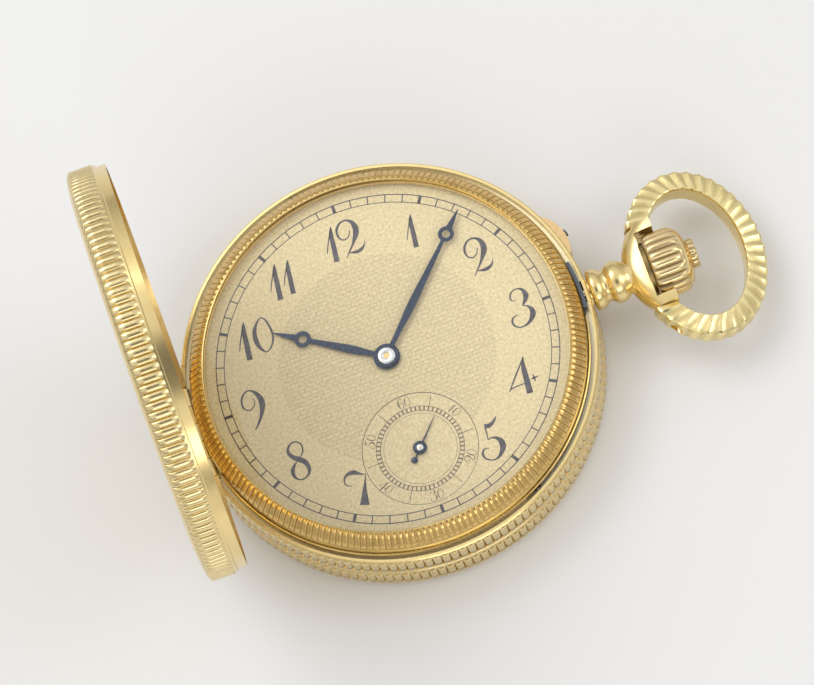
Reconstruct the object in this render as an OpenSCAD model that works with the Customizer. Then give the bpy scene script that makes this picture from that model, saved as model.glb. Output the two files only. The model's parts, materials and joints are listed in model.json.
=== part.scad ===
// Full hunter pocket watch, lying on its back with the front cover open.
// Frame: origin at the centre of the flat back, +Z through the dial, +X to the crown, +Y to twelve.

/* [Case] */
// Radius over the reeding of the case band and the back cover
band_r = 25; // [24.9:0.05:26]
// Height of the back cover's rim above the flat back
back_h = 5; // [4.9:0.05:5.3]
// Height of the case band between the two covers
band_h = 3.8; // [3.7:0.05:4.2]
// Gap between a closed cover and the band
seat_gap = 0.1; // [0.05:0.01:0.15]
// Number of reeds round each band
reed_count = 146; // [100:1:160]
// Depth of the reeds
reed_depth = 0.3; // [0.2:0.05:0.4]
// Thickness of the metal in the covers
cover_wall = 0.7; // [0.5:0.05:0.8]

/* [Front cover] */
// Angle at which the front cover stands open
cover_open = 87; // [60:1:92]
// How far the front cover's reeding stands inside the band's
cover_step = 0.35; // [0.1:0.05:0.4]
// Height of the front cover above its seat
cover_h = 3.9; // [3.7:0.05:4.5]
// Length of the lip that drops into the band
lip_h = 1.15; // [0.9:0.05:1.2]
// Thickness of the lip
lip_t = 0.35; // [0.25:0.05:0.4]
// Length of the two cover hinges
hinge_len = 11.6; // [9:0.2:12]
// Radius of a hinge knuckle
knuckle_r = 0.52; // [0.45:0.01:0.55]
// Radius of the hinge pins
hinge_pin_r = 0.25; // [0.2:0.01:0.3]

/* [Bezel and glass] */
// Width from the edge of the band to the glass opening
bezel_w = 3.13; // [3.05:0.01:3.4]
// Thickness of the glass
glass_t = 0.3; // [0.25:0.01:0.32]
// Number of reeds on the bezel
bezel_reeds = 184; // [120:2:190]

/* [Pendant and bow] */
// Distance from the band's edge to the bow's hinge
pendant_len = 8.1; // [7.8:0.1:9]
// Width of the cradle between the ends of the bow
cradle_w = 10.6; // [10:0.1:10.8]
// Thickness of the cradle and the bow
bow_t = 3; // [2.8:0.1:3.4]
// Half the bow's length along the pendant
bow_a = 7.9; // [7.6:0.1:8.5]
// Half the bow's width
bow_b = 10.5; // [10:0.1:11.5]
// Width of the bow's face
bow_w = 2.55; // [2.2:0.05:2.6]
// Number of flutes all round the bow
bow_flutes = 38; // [24:1:44]
// Angle at which the bow droops from the pendant
bow_droop = 14; // [0:1:20]
// Radius of the bow's screws
bow_screw_r = 0.5; // [0.4:0.05:0.6]

/* [Crown] */
// Radius over the crown's flutes
crown_r = 4.05; // [3.6:0.05:4.1]
// Length of the crown's fluted barrel
crown_len = 3.9; // [3.4:0.1:4.3]
// Number of flutes
crown_flutes = 20; // [14:1:26]
// Travel when the crown is pushed to release the front cover
crown_push = 0.5; // [0.4:0.05:0.55]

/* [Dial and hands] */
// How far the dial's edge lies inside the band's
dial_inset = 2.95; // [2.9:0.01:3.1]
// Thickness of the dial
dial_t = 0.4; // [0.3:0.05:0.5]
// Height of the dial's face above the case's rim
dial_rise = 1.1; // [1.05:0.05:1.2]
// Distance from the centre to the seconds arbor
seconds_y = 12.06; // [11.8:0.01:12.3]
// Length of the minute hand
minute_len = 19.8; // [17:0.1:20.4]
// Length of the hour hand
hour_len = 14.1; // [12:0.1:15]
// Length of the seconds hand
seconds_len = 4.15; // [3.5:0.05:4.6]
// Minutes past ten shown by the hands
minutes_shown = 7.4; // [0:0.1:14]
// Seconds shown by the small hand
seconds_shown = 7.1; // [0:0.1:59]

/* [Movement] */
// How far the movement's edge lies inside the band's
case_wall = 3.5; // [3.45:0.05:3.7]
// Thickness of the main plate
plate_t = 2; // [1.9:0.05:2.1]
// Room between the main plate and the bridges
pillar_h = 2.2; // [2.15:0.05:2.4]
// Thickness of the bridges
bridge_t = 1.4; // [1.3:0.05:1.5]
// Module of the barrel's teeth
barrel_mod = 0.22; // [0.21:0.002:0.222]
// Module of the centre wheel
centre_mod = 0.17; // [0.168:0.001:0.174]
// Module of the third wheel
third_mod = 0.145; // [0.143:0.001:0.148]
// Module of the fourth wheel
fourth_mod = 0.12; // [0.117:0.001:0.122]
// Module of the wheels under the dial
motion_mod = 0.18; // [0.176:0.001:0.183]
// Module of the winding wheels
wind_mod = 0.25; // [0.246:0.002:0.252]
// Radius of the balance
balance_r = 6.2; // [5.8:0.05:6.3]
// Travel of the push pin that sets the hands
pin_travel = 0.4; // [0.3:0.05:0.45]

/* [Hidden] */

eps = 0.01;
fit = 0.03;          // gap all round a turning pivot or pin
clear = 0.1;         // gap between pieces that pass each other
fine = 96;

// Heights of the case
seat_z = back_h + seat_gap;
rim_z = seat_z + band_h;
cover_seat_z = rim_z + seat_gap;
pend_z = (seat_z + rim_z) / 2 - 0.2;
dial_z = rim_z + dial_rise;
bezel_z = rim_z + 0.05;
glass_z = dial_z + 1.0;
bezel_ribs = false;

// Radii of the case, worked inwards from the reeding
cover_r = band_r - cover_step;
glass_open_r = band_r - bezel_w;
dial_r = band_r - dial_inset;
move_r = band_r - case_wall;
bow_x = band_r + pendant_len;
rim_r = band_r - 0.05;
groove_out_r = band_r - 0.5;
lip_out_r = groove_out_r - 0.15;
lip_in_r = lip_out_r - lip_t;
groove_in_r = groove_out_r - 0.95;
bezel_r = lip_in_r - 0.15;
collar_r = groove_in_r - 0.35;       // outside of the collar that carries the bezel
bore_r = dial_r + 0.25;
glass_seat_r = glass_open_r + 0.12;
rehaut_r = glass_open_r - 0.15;
ledge_r = move_r + 0.15;
cuvette_bore_r = collar_r - 0.4;
groove_depth = lip_h + 0.1;

// Heights of the movement, downwards from the dial
plate_top = dial_z - dial_t - 0.1;
plate_z = plate_top - plate_t;
bridge_z = plate_z - pillar_h;
bridge_top = bridge_z - bridge_t;
flange_z = plate_top - 0.85;
pocket_z = plate_z + 0.55;

// Hinges
hinge_x = -(groove_out_r - 0.5);
front_hinge_z = rim_z - 0.6;
back_hinge_z = seat_z + 0.6;
notch_half = hinge_len / 2 + 0.15;
relief_a = asin((hinge_len / 2 + 2.95) / band_r);
relief_h = 0.33;
cuvette_hinge_x = -(cuvette_bore_r + 0.35);
cuvette_hinge_z = seat_z + 0.35;
cuvette_hinge_len = 5;
cuvette_swing = 59.5;
hinge_room = 0.8 + band_h / 16;
small_knuckle_r = 0.3;
small_pin_r = 0.15;

// Springs in the groove of the band
spring_r = lip_in_r - 0.22;
lock_a = -62;
lift_a = 100;
catch_a0 = -5.5;
catch_a1 = 9.5;

// Pendant and crown
neck_r = 1.65;
stem_r = 0.4;
sleeve_r = 0.62;
crown_x = bow_x - 0.2;
cradle_wall_x = crown_x - crown_push - 0.1;
cradle_end_x = bow_x + 1.5;
bow_cx = bow_x + bow_a - 2.9;
pocket_half = crown_r + 0.15;
bow_end_y = 7.6;
sleeve_x = lip_in_r - 0.03;
stem_end_x = bow_x - 2.5;
tongue_x = sleeve_x - 0.3;

// Gears of the train
centre_n = 80;
third_n = 75;
fourth_n = 80;
barrel_n = 80;
leaf_n = 10;
escape_leaf_n = 8;
escape_n = 15;
ratchet_n = 64;
crown_wheel_n = 40;
wind_leaf_n = 18;
cannon_n = 12;
minute_n = 36;
minute_leaf_n = 10;
hour_n = 40;
setting_n = 30;

// Places of the arbors
function polar(r, a) = [r * cos(a), r * sin(a)];
function dir(p, q) = atan2(q[1] - p[1], q[0] - p[0]);
centre_p = [0, 0];
fourth_p = [0, -seconds_y];
d_ct = centre_mod * (centre_n + leaf_n) / 2;
d_tf = third_mod * (third_n + leaf_n) / 2;
third_turn = acos((d_ct * d_ct + seconds_y * seconds_y - d_tf * d_tf) / (2 * d_ct * seconds_y));
third_p = polar(d_ct, -90 + third_turn);
escape_p = fourth_p + polar(fourth_mod * (fourth_n + escape_leaf_n) / 2, 190);
lever_dir = 135;
escape_r = 2.6;
pallet_p = escape_p + polar(escape_r * 1.16, lever_dir);
balance_p = pallet_p + polar(5.2, lever_dir);
barrel_p = polar(barrel_mod * (barrel_n + leaf_n) / 2, 75);
d_rc = wind_mod * (ratchet_n + crown_wheel_n) / 2;
crown_wheel_p = [barrel_p[0] + sqrt(d_rc * d_rc - barrel_p[1] * barrel_p[1]), 0];
crown_wheel_r = wind_mod * crown_wheel_n / 2;
ratchet_r = wind_mod * ratchet_n / 2;
barrel_r = barrel_mod * barrel_n / 2;
minute_p = polar(motion_mod * (cannon_n + minute_n) / 2, -20);
hour_mod = motion_mod * (cannon_n + minute_n) / (minute_leaf_n + hour_n);
d_ms = motion_mod * (minute_n + setting_n) / 2;
setting_p = [minute_p[0] + sqrt(d_ms * d_ms - minute_p[1] * minute_p[1]), 0];

cock_foot = polar(move_r - 2.5, 185);
stud_r = 3.1;
stud_a = dir(balance_p, cock_foot) + 28;
stud_p = balance_p + polar(stud_r, stud_a);
pallet_foot = pallet_p + polar(3.2, lever_dir + 90);
click_p = barrel_p + polar(ratchet_r + 2.6, 165);
click_reach = 2.6 - wind_mod * 0.85 - 0.06;
click_spring_p = click_p + polar(4.2, 265);
barrel_feet = [polar(move_r - 2.9, 150), polar(move_r - 2.3, 33), polar(move_r - 2.1, -13)];
train_feet = [polar(move_r - 2.5, 258), polar(move_r - 2.9, -30)];
dial_feet = [for (a = [50, 140, 320]) polar(dial_r - 3.05, a)];
seconds_dial_r = 6.95;
barrel_drum_r = barrel_mod * (barrel_n / 2 - 1.15) - 0.15;

// Levels of the wheels between plate and bridges, as heights above the bridges' inner face
centre_wheel_z = bridge_z + 0.25;
third_wheel_z = bridge_z + 1.2;
fourth_wheel_z = plate_z - 0.4;
barrel_z = bridge_z + 0.7;
barrel_top = plate_z - 0.07;
barrel_teeth_z = plate_z - 0.45;
escape_z = bridge_z + 1.0;
lever_z = escape_z;
balance_z = bridge_z - 0.5;
hairspring_z = balance_z - 0.5;
cock_z = hairspring_z - 0.25;
cock_top = cock_z - 1.2;
pallet_cock_z = bridge_z + 0.2;
winding_wheel_z = bridge_top + 0.05;
winding_wheel_t = 0.6;

// Keyless work on the stem
wind_pinion_r = wind_mod * wind_leaf_n / 2;
wind_pinion_x = crown_wheel_p[0] + wind_mod * (crown_wheel_n / 2 - 1.15) + 0.08;
wind_pinion_len = 1.3;
clutch_len = 2.6;
clutch_x = wind_pinion_x - clutch_len - 0.1;
clutch_r = 1.85;
stem_x0 = clutch_x - 2.2;
groove_w = 0.7;
pin_angle = 18;
lever_pivot = [13.5, 9];
clutch_grip = [clutch_x + 0.9 + groove_w / 2, 2.1];
pin_tip_r = bore_r - 2.85;
key_z = pend_z - 0.3;

motion_z = pocket_z + 0.1;
motion_t = 0.5;

// Hands
hour_z = dial_z + 0.3;
minute_z = dial_z + 0.55;
seconds_z = dial_z + 0.1;
hand_t = 0.15;
minute_angle = 90 - 6 * minutes_shown;
hour_angle = 90 - 30 * (10 + minutes_shown / 60);
seconds_angle = 90 - 6 * seconds_shown;

gold = [0.85, 0.68, 0.32];
rose = [0.80, 0.58, 0.33];
brass = [0.72, 0.60, 0.34];
steel = [0.62, 0.63, 0.65];
nickel = [0.78, 0.77, 0.74];
blued = [0.12, 0.16, 0.38];

// Mesh of two outside gears: where gear b's first tooth stands when gear a's stands at phase_a
function mesh(phase_a, n_a, n_b, way) = way + 180 - (phase_a - way) * n_a / n_b - 180 / n_b;

centre_phase = 0;
third_leaf_phase = mesh(centre_phase, centre_n, leaf_n, dir(centre_p, third_p));
fourth_leaf_phase = mesh(0, third_n, leaf_n, dir(third_p, fourth_p));
escape_leaf_phase = mesh(0, fourth_n, escape_leaf_n, dir(fourth_p, escape_p));
barrel_phase = mesh(0, leaf_n, barrel_n, dir(centre_p, barrel_p));
crown_wheel_phase = 0;
ratchet_phase = mesh(crown_wheel_phase, crown_wheel_n, ratchet_n, dir(crown_wheel_p, barrel_p));
minute_phase = mesh(0, cannon_n, minute_n, dir(centre_p, minute_p));
hour_phase = mesh(0, minute_leaf_n, hour_n, dir(minute_p, centre_p));
setting_phase = mesh(minute_phase, minute_n, setting_n, dir(minute_p, setting_p));

// Flat toothed outline: teeth narrow from root to tip
module gear_2d(n, mod, phase = 0, add = 0.85, ded = 1.15, width = 0.42) {
    root = mod * (n / 2 - ded);
    tip = mod * (n / 2 + add);
    pitch = 360 / n;
    polygon([for (i = [0 : n - 1], k = [[-0.62, root], [-0.3, tip], [0.3, tip], [0.62, root]])
        polar(k[1], phase + pitch * (i + k[0] * width))]);
}

module pinion(n, mod, h, phase = 0) {
    linear_extrude(h) gear_2d(n, mod, phase, 0.75, 1.2, 0.36);
}

// Spoked wheel with its teeth at z = 0 to h
module wheel(n, mod, h, phase, spokes = 4, rim = 0.55, hub = 0.9) {
    inner = mod * (n / 2 - 1.15) - rim;
    linear_extrude(h) {
        difference() {
            gear_2d(n, mod, phase);
            circle(r = inner, $fn = fine);
        }
        circle(r = hub, $fn = 48);
        for (i = [0 : spokes - 1])
            rotate(i * 360 / spokes + 20)
                translate([hub - 0.2, -0.25]) square([inner - hub + 0.4, 0.5]);
    }
}

module at(p, z = 0) {
    translate([p[0], p[1], z]) children();
}

module rod(p, z0, z1, r, fn = 48) {
    at(p, z0) cylinder(r = r, h = z1 - z0, $fn = fn);
}

// Rod along +X at the pendant's height
module stem_rod(x0, x1, r, fn = 64) {
    translate([x0, 0, pend_z]) rotate([0, 90, 0]) cylinder(r = r, h = x1 - x0, $fn = fn);
}

// Rod along a radius of the case at the pendant's height
module radial_rod(a, r0, r1, r, fn = 48) {
    rotate(a) translate([r0, 0, pend_z]) rotate([0, 90, 0]) cylinder(r = r, h = r1 - r0, $fn = fn);
}

// Rod along Y, centred on y = 0
module hinge_rod(x, z, len, r, fn = 48) {
    translate([x, -len / 2, z]) rotate([-90, 0, 0]) cylinder(r = r, h = len, $fn = fn);
}

// Ring turned from an outline in r and z
module turned(points, fn = 180) {
    rotate_extrude($fn = fn) polygon(points);
}

// Part of a ring between two angles
module ring_part(r0, r1, z0, z1, a0, a1, fn = 180) {
    rotate(a0) rotate_extrude(angle = a1 - a0, $fn = fn)
        translate([r0, z0]) square([r1 - r0, z1 - z0]);
}

// Straight bar in the plane, wider than its ends are round so that no sides run tangent
module bar_2d(p, q, w) {
    translate(p) rotate(dir(p, q)) translate([0, -w / 2]) square([norm(q - p), w]);
}

// Band of straight reeds
module reeds(r, z0, z1, r_in) {
    pitch = 360 / reed_count;
    difference() {
        translate([0, 0, z0]) linear_extrude(z1 - z0)
            polygon([for (i = [0 : reed_count - 1],
                k = [[-0.3, 0], [-0.2, 1], [0.2, 1], [0.3, 0]])
                polar(r - reed_depth * (1 - k[1]), pitch * (i + k[0]))]);
        translate([0, 0, z0 - 1]) cylinder(r = r_in, h = z1 - z0 + 2, $fn = 180);
    }
}

// Knuckles of a hinge, with the web that carries each one; which is 0 for the band and 1 for the cover
module knuckles(x, z, which, count, len, r, pin_r, web_x, web_z) {
    step = len / count;
    for (i = [which : 2 : count - 1])
        translate([0, -len / 2 + i * step + 0.04, 0])
            difference() {
                union() {
                    translate([x, 0, z]) rotate([-90, 0, 0]) cylinder(r = r, h = step - 0.08, $fn = 48);
                    translate([min(x, web_x[0]), 0, min(z, web_z[0])])
                        cube([abs(web_x[1] - web_x[0]), step - 0.08, abs(web_z[1] - web_z[0])]);
                }
                translate([x, -1, z]) rotate([-90, 0, 0]) cylinder(r = pin_r, h = step + 2, $fn = 48);
            }
}

module case_middle() {
    color(gold) difference() {
        union() {
            turned([[cuvette_bore_r, seat_z], [groove_in_r, seat_z], [groove_in_r, seat_z + groove_depth],
                [groove_out_r, seat_z + groove_depth], [groove_out_r, seat_z], [rim_r, seat_z],
                [rim_r, seat_z + 0.5], [band_r - 0.42, seat_z + 0.5],
                [band_r - 0.42, rim_z - 0.4], [rim_r, rim_z - 0.4], [rim_r, rim_z - 0.15],
                [rim_r - 0.15, rim_z], [groove_out_r, rim_z], [groove_out_r, rim_z - groove_depth],
                [groove_in_r, rim_z - groove_depth], [groove_in_r, rim_z], [collar_r, rim_z],
                [collar_r, rim_z + 0.6], [bore_r, rim_z + 0.6], [bore_r, flange_z], [ledge_r, flange_z],
                [ledge_r, plate_z], [bore_r, plate_z], [bore_r, seat_z + 0.6],
                [cuvette_bore_r, seat_z + 0.6]]);
            reeds(band_r, seat_z + 0.45, rim_z - 0.35, band_r - 0.47);
        }
        // pockets of the two cover hinges
        translate([hinge_x - 1.3, -notch_half, front_hinge_z - hinge_room])
            cube([1.85, 2 * notch_half, 3]);
        translate([hinge_x - 1.3, -notch_half, back_hinge_z + hinge_room - 3])
            cube([1.85, 2 * notch_half, 3]);
        // the edge is lowered beside each hinge, where a cover's lip swings past it
        ring_part(groove_out_r - 0.05, band_r + 0.2, rim_z - relief_h, rim_z + 0.3, 180 - relief_a, 180 + relief_a);
        ring_part(groove_out_r - 0.05, band_r + 0.2, seat_z - 0.3, seat_z + relief_h, 180 - relief_a, 180 + relief_a);
        // pocket of the inner cover's hinge
        translate([cuvette_hinge_x - 0.36, -cuvette_hinge_len / 2 - 0.1, cuvette_hinge_z + 0.36 - 2])
            cube([1.1, cuvette_hinge_len + 0.2, 2]);
        // holes for the pendant, the push pin and the spring screws
        stem_rod(bore_r - 1, band_r + 1, neck_r);
        radial_rod(pin_angle, bore_r - 1, band_r + 1, 0.45 + fit);
        for (a = [lock_a, lift_a])
            at(polar(spring_r, a), rim_z - groove_depth - 0.7) cylinder(r = 0.13, h = 2, $fn = 32);
        // room for the catch to move inwards
        ring_part(collar_r - 0.22, groove_in_r + 0.1, rim_z - groove_depth, rim_z - 0.15, -66, 12);
        ring_part(collar_r + 0.02, groove_in_r + 0.1, rim_z - 0.2, rim_z + 0.2, -66, 12);
        // seats of the screws that hold the movement
        for (a = [58, 238])
            at(polar(move_r - 0.75, a), plate_z - 1) cylinder(r = 1.3, h = 1, $fn = 48);
    }
    color(gold) knuckles(hinge_x, front_hinge_z, 0, 5, hinge_len, knuckle_r, hinge_pin_r,
        [hinge_x - 0.3, hinge_x + 0.3], [front_hinge_z - hinge_room - 0.1, front_hinge_z]);
    color(gold) knuckles(hinge_x, back_hinge_z, 0, 5, hinge_len, knuckle_r, hinge_pin_r,
        [hinge_x - 0.3, hinge_x + 0.3], [back_hinge_z, back_hinge_z + hinge_room + 0.1]);
    color(gold) knuckles(cuvette_hinge_x, cuvette_hinge_z, 0, 3, cuvette_hinge_len, small_knuckle_r,
        small_pin_r, [cuvette_hinge_x - 0.15, cuvette_hinge_x + 0.15],
        [cuvette_hinge_z, cuvette_hinge_z + 0.45]);
}

module pendant() {
    color(gold) difference() {
        union() {
            translate([0, 0, pend_z]) rotate([0, 90, 0]) rotate_extrude($fn = 96)
                polygon([[sleeve_r + 0.04, groove_out_r + 0.05], [neck_r, groove_out_r + 0.05],
                    [neck_r, band_r + 0.2], [2.3, band_r + 0.2], [2.5, band_r + 0.4], [2.5, band_r + 1.6],
                    [2.35, band_r + 1.8], [2.1, band_r + 1.95], [2.1, band_r + 2.35], [2.35, band_r + 2.55],
                    [2.5, band_r + 2.8], [2.5, band_r + 4.4], [2.35, band_r + 4.65], [1.9, band_r + 4.9],
                    [1.9, bow_x - 2], [sleeve_r + 0.04, bow_x - 2]]);
            translate([0, 0, pend_z - bow_t / 2]) linear_extrude(bow_t) intersection() {
                translate([bow_x - 2.7 + 8.34, 0]) circle(r = 8.34, $fn = 180);
                translate([bow_x - 4, -cradle_w / 2]) square([cradle_end_x - bow_x + 4, cradle_w]);
            }
        }
        stem_rod(bow_x - 4, bow_x, sleeve_r + 0.04);
        translate([cradle_wall_x, -pocket_half, pend_z - 3])
            cube([10, 2 * pocket_half, 6]);
        hinge_rod(bow_x, pend_z, cradle_w + 1, bow_screw_r + 0.01);
    }
}

module bow_screws() {
    color(gold) for (s = [-1, 1])
        scale([1, 1, 1]) translate([bow_x, s > 0 ? pocket_half + 0.05 : -bow_end_y, pend_z])
            rotate([-90, 0, 0]) cylinder(r = bow_screw_r, h = bow_end_y - pocket_half - 0.05, $fn = 48);
}

// Oval ring: stations all round, each with a section that is widest at half height
module bow() {
    n = bow_flutes * 4;
    sec = [[1, 0.0], [0.93, 0.42], [0.70, 0.5], [-0.62, 0.5], [-1, 0.22],
        [-1, -0.22], [-0.62, -0.5], [0.70, -0.5], [0.93, -0.42]];
    ns = len(sec);
    pts = [for (i = [0 : n - 1], k = sec)
        let (a = i * 360 / n, f = (i % 4 == 0) ? 0.12 : 0, m = bow_w / 2,
            w = k[0] * m - (k[0] > 0 ? f : 0), h = k[1] * bow_t - (k[0] > 0 ? f * k[1] : 0))
            [bow_cx + (bow_a - m + w) * cos(a), (bow_b - m + w) * sin(a), h]];
    faces = [for (i = [0 : n - 1], j = [0 : ns - 1])
        let (p = i * ns + j, q = i * ns + (j + 1) % ns, p2 = ((i + 1) % n) * ns + j,
            q2 = ((i + 1) % n) * ns + (j + 1) % ns)
        [p, q, q2, p2]];
    color(gold) translate([bow_x, 0, pend_z]) rotate([0, bow_droop, 0]) translate([-bow_x, 0, 0])
        difference() {
            polyhedron(points = pts, faces = faces, convexity = 6);
            translate([bow_x - 6, -cradle_w / 2 - 0.05, -5]) cube([9, cradle_w + 0.1, 10]);
            translate([bow_x, -20, 0]) rotate([-90, 0, 0]) cylinder(r = bow_screw_r + 0.04, h = 40, $fn = 32);
        }
}

module crown() {
    top_x = crown_x + crown_len;
    color(rose) difference() {
        union() {
            translate([crown_x + 0.35, 0, pend_z]) rotate([90, 0, 90]) linear_extrude(crown_len - 0.55)
                polygon([for (i = [0 : crown_flutes - 1],
                    k = [[-0.38, -0.30], [-0.26, -0.07], [-0.1, 0], [0.1, 0], [0.26, -0.07], [0.38, -0.30]])
                    polar(crown_r + k[1], (i + k[0]) * 360 / crown_flutes)]);
            translate([0, 0, pend_z]) rotate([0, 90, 0]) rotate_extrude($fn = 96)
                polygon([[0, crown_x - 0.02], [crown_r - 0.75, crown_x - 0.02], [crown_r - 0.4, crown_x + 0.36],
                    [crown_r - 0.4, top_x - 0.25], [crown_r - 0.6, top_x + 0.15], [crown_r - 1.1, top_x + 0.5],
                    [crown_r - 1.9, top_x + 0.75], [1.6, top_x + 0.85], [1.6, top_x + 1.0], [0, top_x + 1.0]]);
            translate([top_x + 0.85, 0, pend_z]) rotate([90, 0, 90]) linear_extrude(0.85)
                polygon([for (i = [0 : 15], k = [[-0.3, -0.15], [-0.15, 0], [0.15, 0], [0.3, -0.15]])
                    polar(1.8 + k[1], (i + k[0]) * 22.5)]);
            stem_rod(sleeve_x, crown_x + 0.5, sleeve_r);
        }
        stem_rod(sleeve_x - 1, stem_end_x + crown_push + 0.1, stem_r + 0.03);
    }
}

module winding_stem() {
    color(steel) stem_rod(stem_x0, stem_end_x, stem_r);
}

module winding_pinion() {
    color(steel) difference() {
        translate([wind_pinion_x, 0, pend_z]) rotate([90, 0, 90])
            pinion(wind_leaf_n, wind_mod, wind_pinion_len, 180 / wind_leaf_n - 90);
        stem_rod(wind_pinion_x - 1, wind_pinion_x + 3, stem_r);
    }
}

module clutch_wheel() {
    color(steel) difference() {
        union() {
            stem_rod(clutch_x, clutch_x + 0.9, clutch_r);
            stem_rod(clutch_x + 0.8, clutch_x + 1.0 + groove_w, 1.2);
            stem_rod(clutch_x + 0.9 + groove_w, clutch_x + clutch_len - 0.3, clutch_r);
            translate([clutch_x + clutch_len - 0.4, 0, pend_z]) rotate([90, 0, 90])
                linear_extrude(0.4) gear_2d(16, 0.2);
        }
        stem_rod(clutch_x - 1, clutch_x + clutch_len + 1, stem_r + 0.03);
    }
}

module olivette() {
    color(gold) difference() {
        intersection() {
            rotate(pin_angle) translate([0, 0, seat_z + 0.75]) linear_extrude(band_h - 1.35)
                intersection() {
                    translate([band_r - 4.0, 0]) circle(r = 4.9, $fn = 96);
                    translate([band_r - 1, -3]) square([3, 6]);
                }
            cylinder(r = band_r + 0.9, h = 30, $fn = 180);
        }
        translate([0, 0, -1]) cylinder(r = band_r + 0.01, h = 30, $fn = 180);
        radial_rod(pin_angle, band_r - 2, band_r + 3, 0.45 + fit);
    }
}

module setting_pin() {
    color(steel) {
        radial_rod(pin_angle, pin_tip_r, bore_r - 0.9, 0.3);
        radial_rod(pin_angle, bore_r - 0.95, band_r + 1.25, 0.45);
    }
}

module setting_lever() {
    tip = polar(pin_tip_r - 0.4, pin_angle);
    color(steel) translate([0, 0, key_z]) difference() {
        linear_extrude(0.5) {
            translate(lever_pivot) circle(r = 1.1, $fn = 48);
            bar_2d(lever_pivot, tip, 0.7);
            translate(tip) circle(r = 0.37, $fn = 32);
            bar_2d(lever_pivot, clutch_grip, 0.6);
            translate(clutch_grip) circle(r = 0.31, $fn = 32);
        }
        at(lever_pivot, -1) cylinder(r = 0.5 + fit, h = 3, $fn = 48);
    }
}

module setting_wheel() {
    color(steel) at(setting_p, motion_z) difference() {
        wheel(setting_n, motion_mod, motion_t, setting_phase, 4, 0.6, 1.0);
        translate([0, 0, -1]) cylinder(r = 0.5 + fit, h = 3, $fn = 48);
    }
}

module bezel() {
    groove_z = glass_z + glass_t + 0.05;
    top = groove_z + 0.35;
    color(gold) {
        turned([[collar_r + 0.05, bezel_z], [bezel_r, bezel_z], [bezel_r, bezel_z + 0.2],
            [bezel_r - 0.25, bezel_z + 0.95], [glass_open_r + 0.08, top], [glass_open_r, top - 0.06],
            [glass_open_r, groove_z], [glass_seat_r, groove_z], [glass_seat_r, glass_z],
            [rehaut_r, glass_z], [rehaut_r, dial_z + 0.2], [bore_r + 0.05, dial_z + 0.2],
            [bore_r + 0.05, rim_z + 0.65], [collar_r + 0.05, rim_z + 0.65]], 180);
        if (bezel_ribs) intersection() {
            turned([[bezel_r - 0.4, bezel_z + 0.78], [bezel_r - 0.19, bezel_z + 0.84], [bezel_r - 0.19, bezel_z + 0.98],
                [glass_open_r + 0.25, top - 0.06], [glass_open_r + 0.06, top - 0.06], [glass_open_r + 0.06, top - 0.3]], 180);
            linear_extrude(30) polygon([for (i = [0 : bezel_reeds - 1],
                k = [[-0.28, 20], [-0.28, 26], [0.28, 26], [0.28, 20]])
                polar(k[1], (i + k[0]) * 360 / bezel_reeds)]);
        }
    }
}

module crystal() {
    color([0.85, 0.92, 0.95, 0.25]) translate([0, 0, glass_z + 0.02])
        cylinder(r = glass_seat_r - 0.03, h = glass_t, $fn = 180);
}

module hinge_pin(x, z, len, r) {
    hinge_rod(x, z, len, r - 0.02);
}

module front_cover() {
    top = cover_seat_z + cover_h;
    wall_r = cover_r - reed_depth - 0.03;
    color(gold) translate([hinge_x, 0, front_hinge_z]) rotate([0, -cover_open, 0])
        translate([-hinge_x, 0, -front_hinge_z]) {
            difference() {
                union() {
                    turned([[0, top - cover_wall], [lip_in_r - 2.5, top - cover_wall], [lip_in_r - 0.8, top - cover_wall - 0.25],
                        [lip_in_r, top - cover_wall - 0.9], [lip_in_r, cover_seat_z - lip_h],
                        [lip_out_r, cover_seat_z - lip_h], [lip_out_r, cover_seat_z],
                        [cover_r - 0.12, cover_seat_z], [cover_r, cover_seat_z + 0.12],
                        [cover_r, cover_seat_z + 0.5], [wall_r, cover_seat_z + 0.6], [wall_r, top - 0.95],
                        [wall_r - 0.25, top - 0.55], [cover_r - 1.25, top - 0.15], [cover_r - 2.65, top], [0, top]]);
                    reeds(cover_r, cover_seat_z + 0.58, top - 0.9, wall_r - 0.03);
                }
                // the lip stops at the hinge, and the catch has its window
                translate([hinge_x - 1.3, -notch_half, cover_seat_z - 3]) cube([4, 2 * notch_half, 3]);
                ring_part(lip_in_r - 0.2, lip_out_r + 0.1, cover_seat_z - lip_h + 0.28, cover_seat_z - 0.02,
                    catch_a0 - 2, catch_a1 + 2);
            }
            knuckles(hinge_x, front_hinge_z, 1, 5, hinge_len, knuckle_r, hinge_pin_r,
                [hinge_x - 0.3, hinge_x + 0.1], [front_hinge_z, cover_seat_z + 0.15]);
        }
}

module back_cover() {
    wall_r = band_r - reed_depth - 0.03;
    color(gold) difference() {
        union() {
            turned([[0, 0], [band_r - 1.6, 0], [band_r - 0.9, 0.3], [wall_r, 0.9], [wall_r, back_h - 0.95],
                [rim_r, back_h - 0.85], [rim_r, back_h - 0.12], [rim_r - 0.12, back_h], [lip_out_r, back_h],
                [lip_out_r, back_h + lip_h], [lip_in_r, back_h + lip_h], [lip_in_r, 1.3],
                [band_r - 1.6, cover_wall], [0, cover_wall]]);
            reeds(band_r, 0.95, back_h - 0.92, wall_r - 0.03);
        }
        translate([hinge_x - 1.3, -notch_half, back_h]) cube([4, 2 * notch_half, 3]);
    }
    color(gold) knuckles(hinge_x, back_hinge_z, 1, 5, hinge_len, knuckle_r, hinge_pin_r,
        [hinge_x - 0.3, hinge_x + 0.3], [back_h - 0.15, back_hinge_z]);
}

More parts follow.
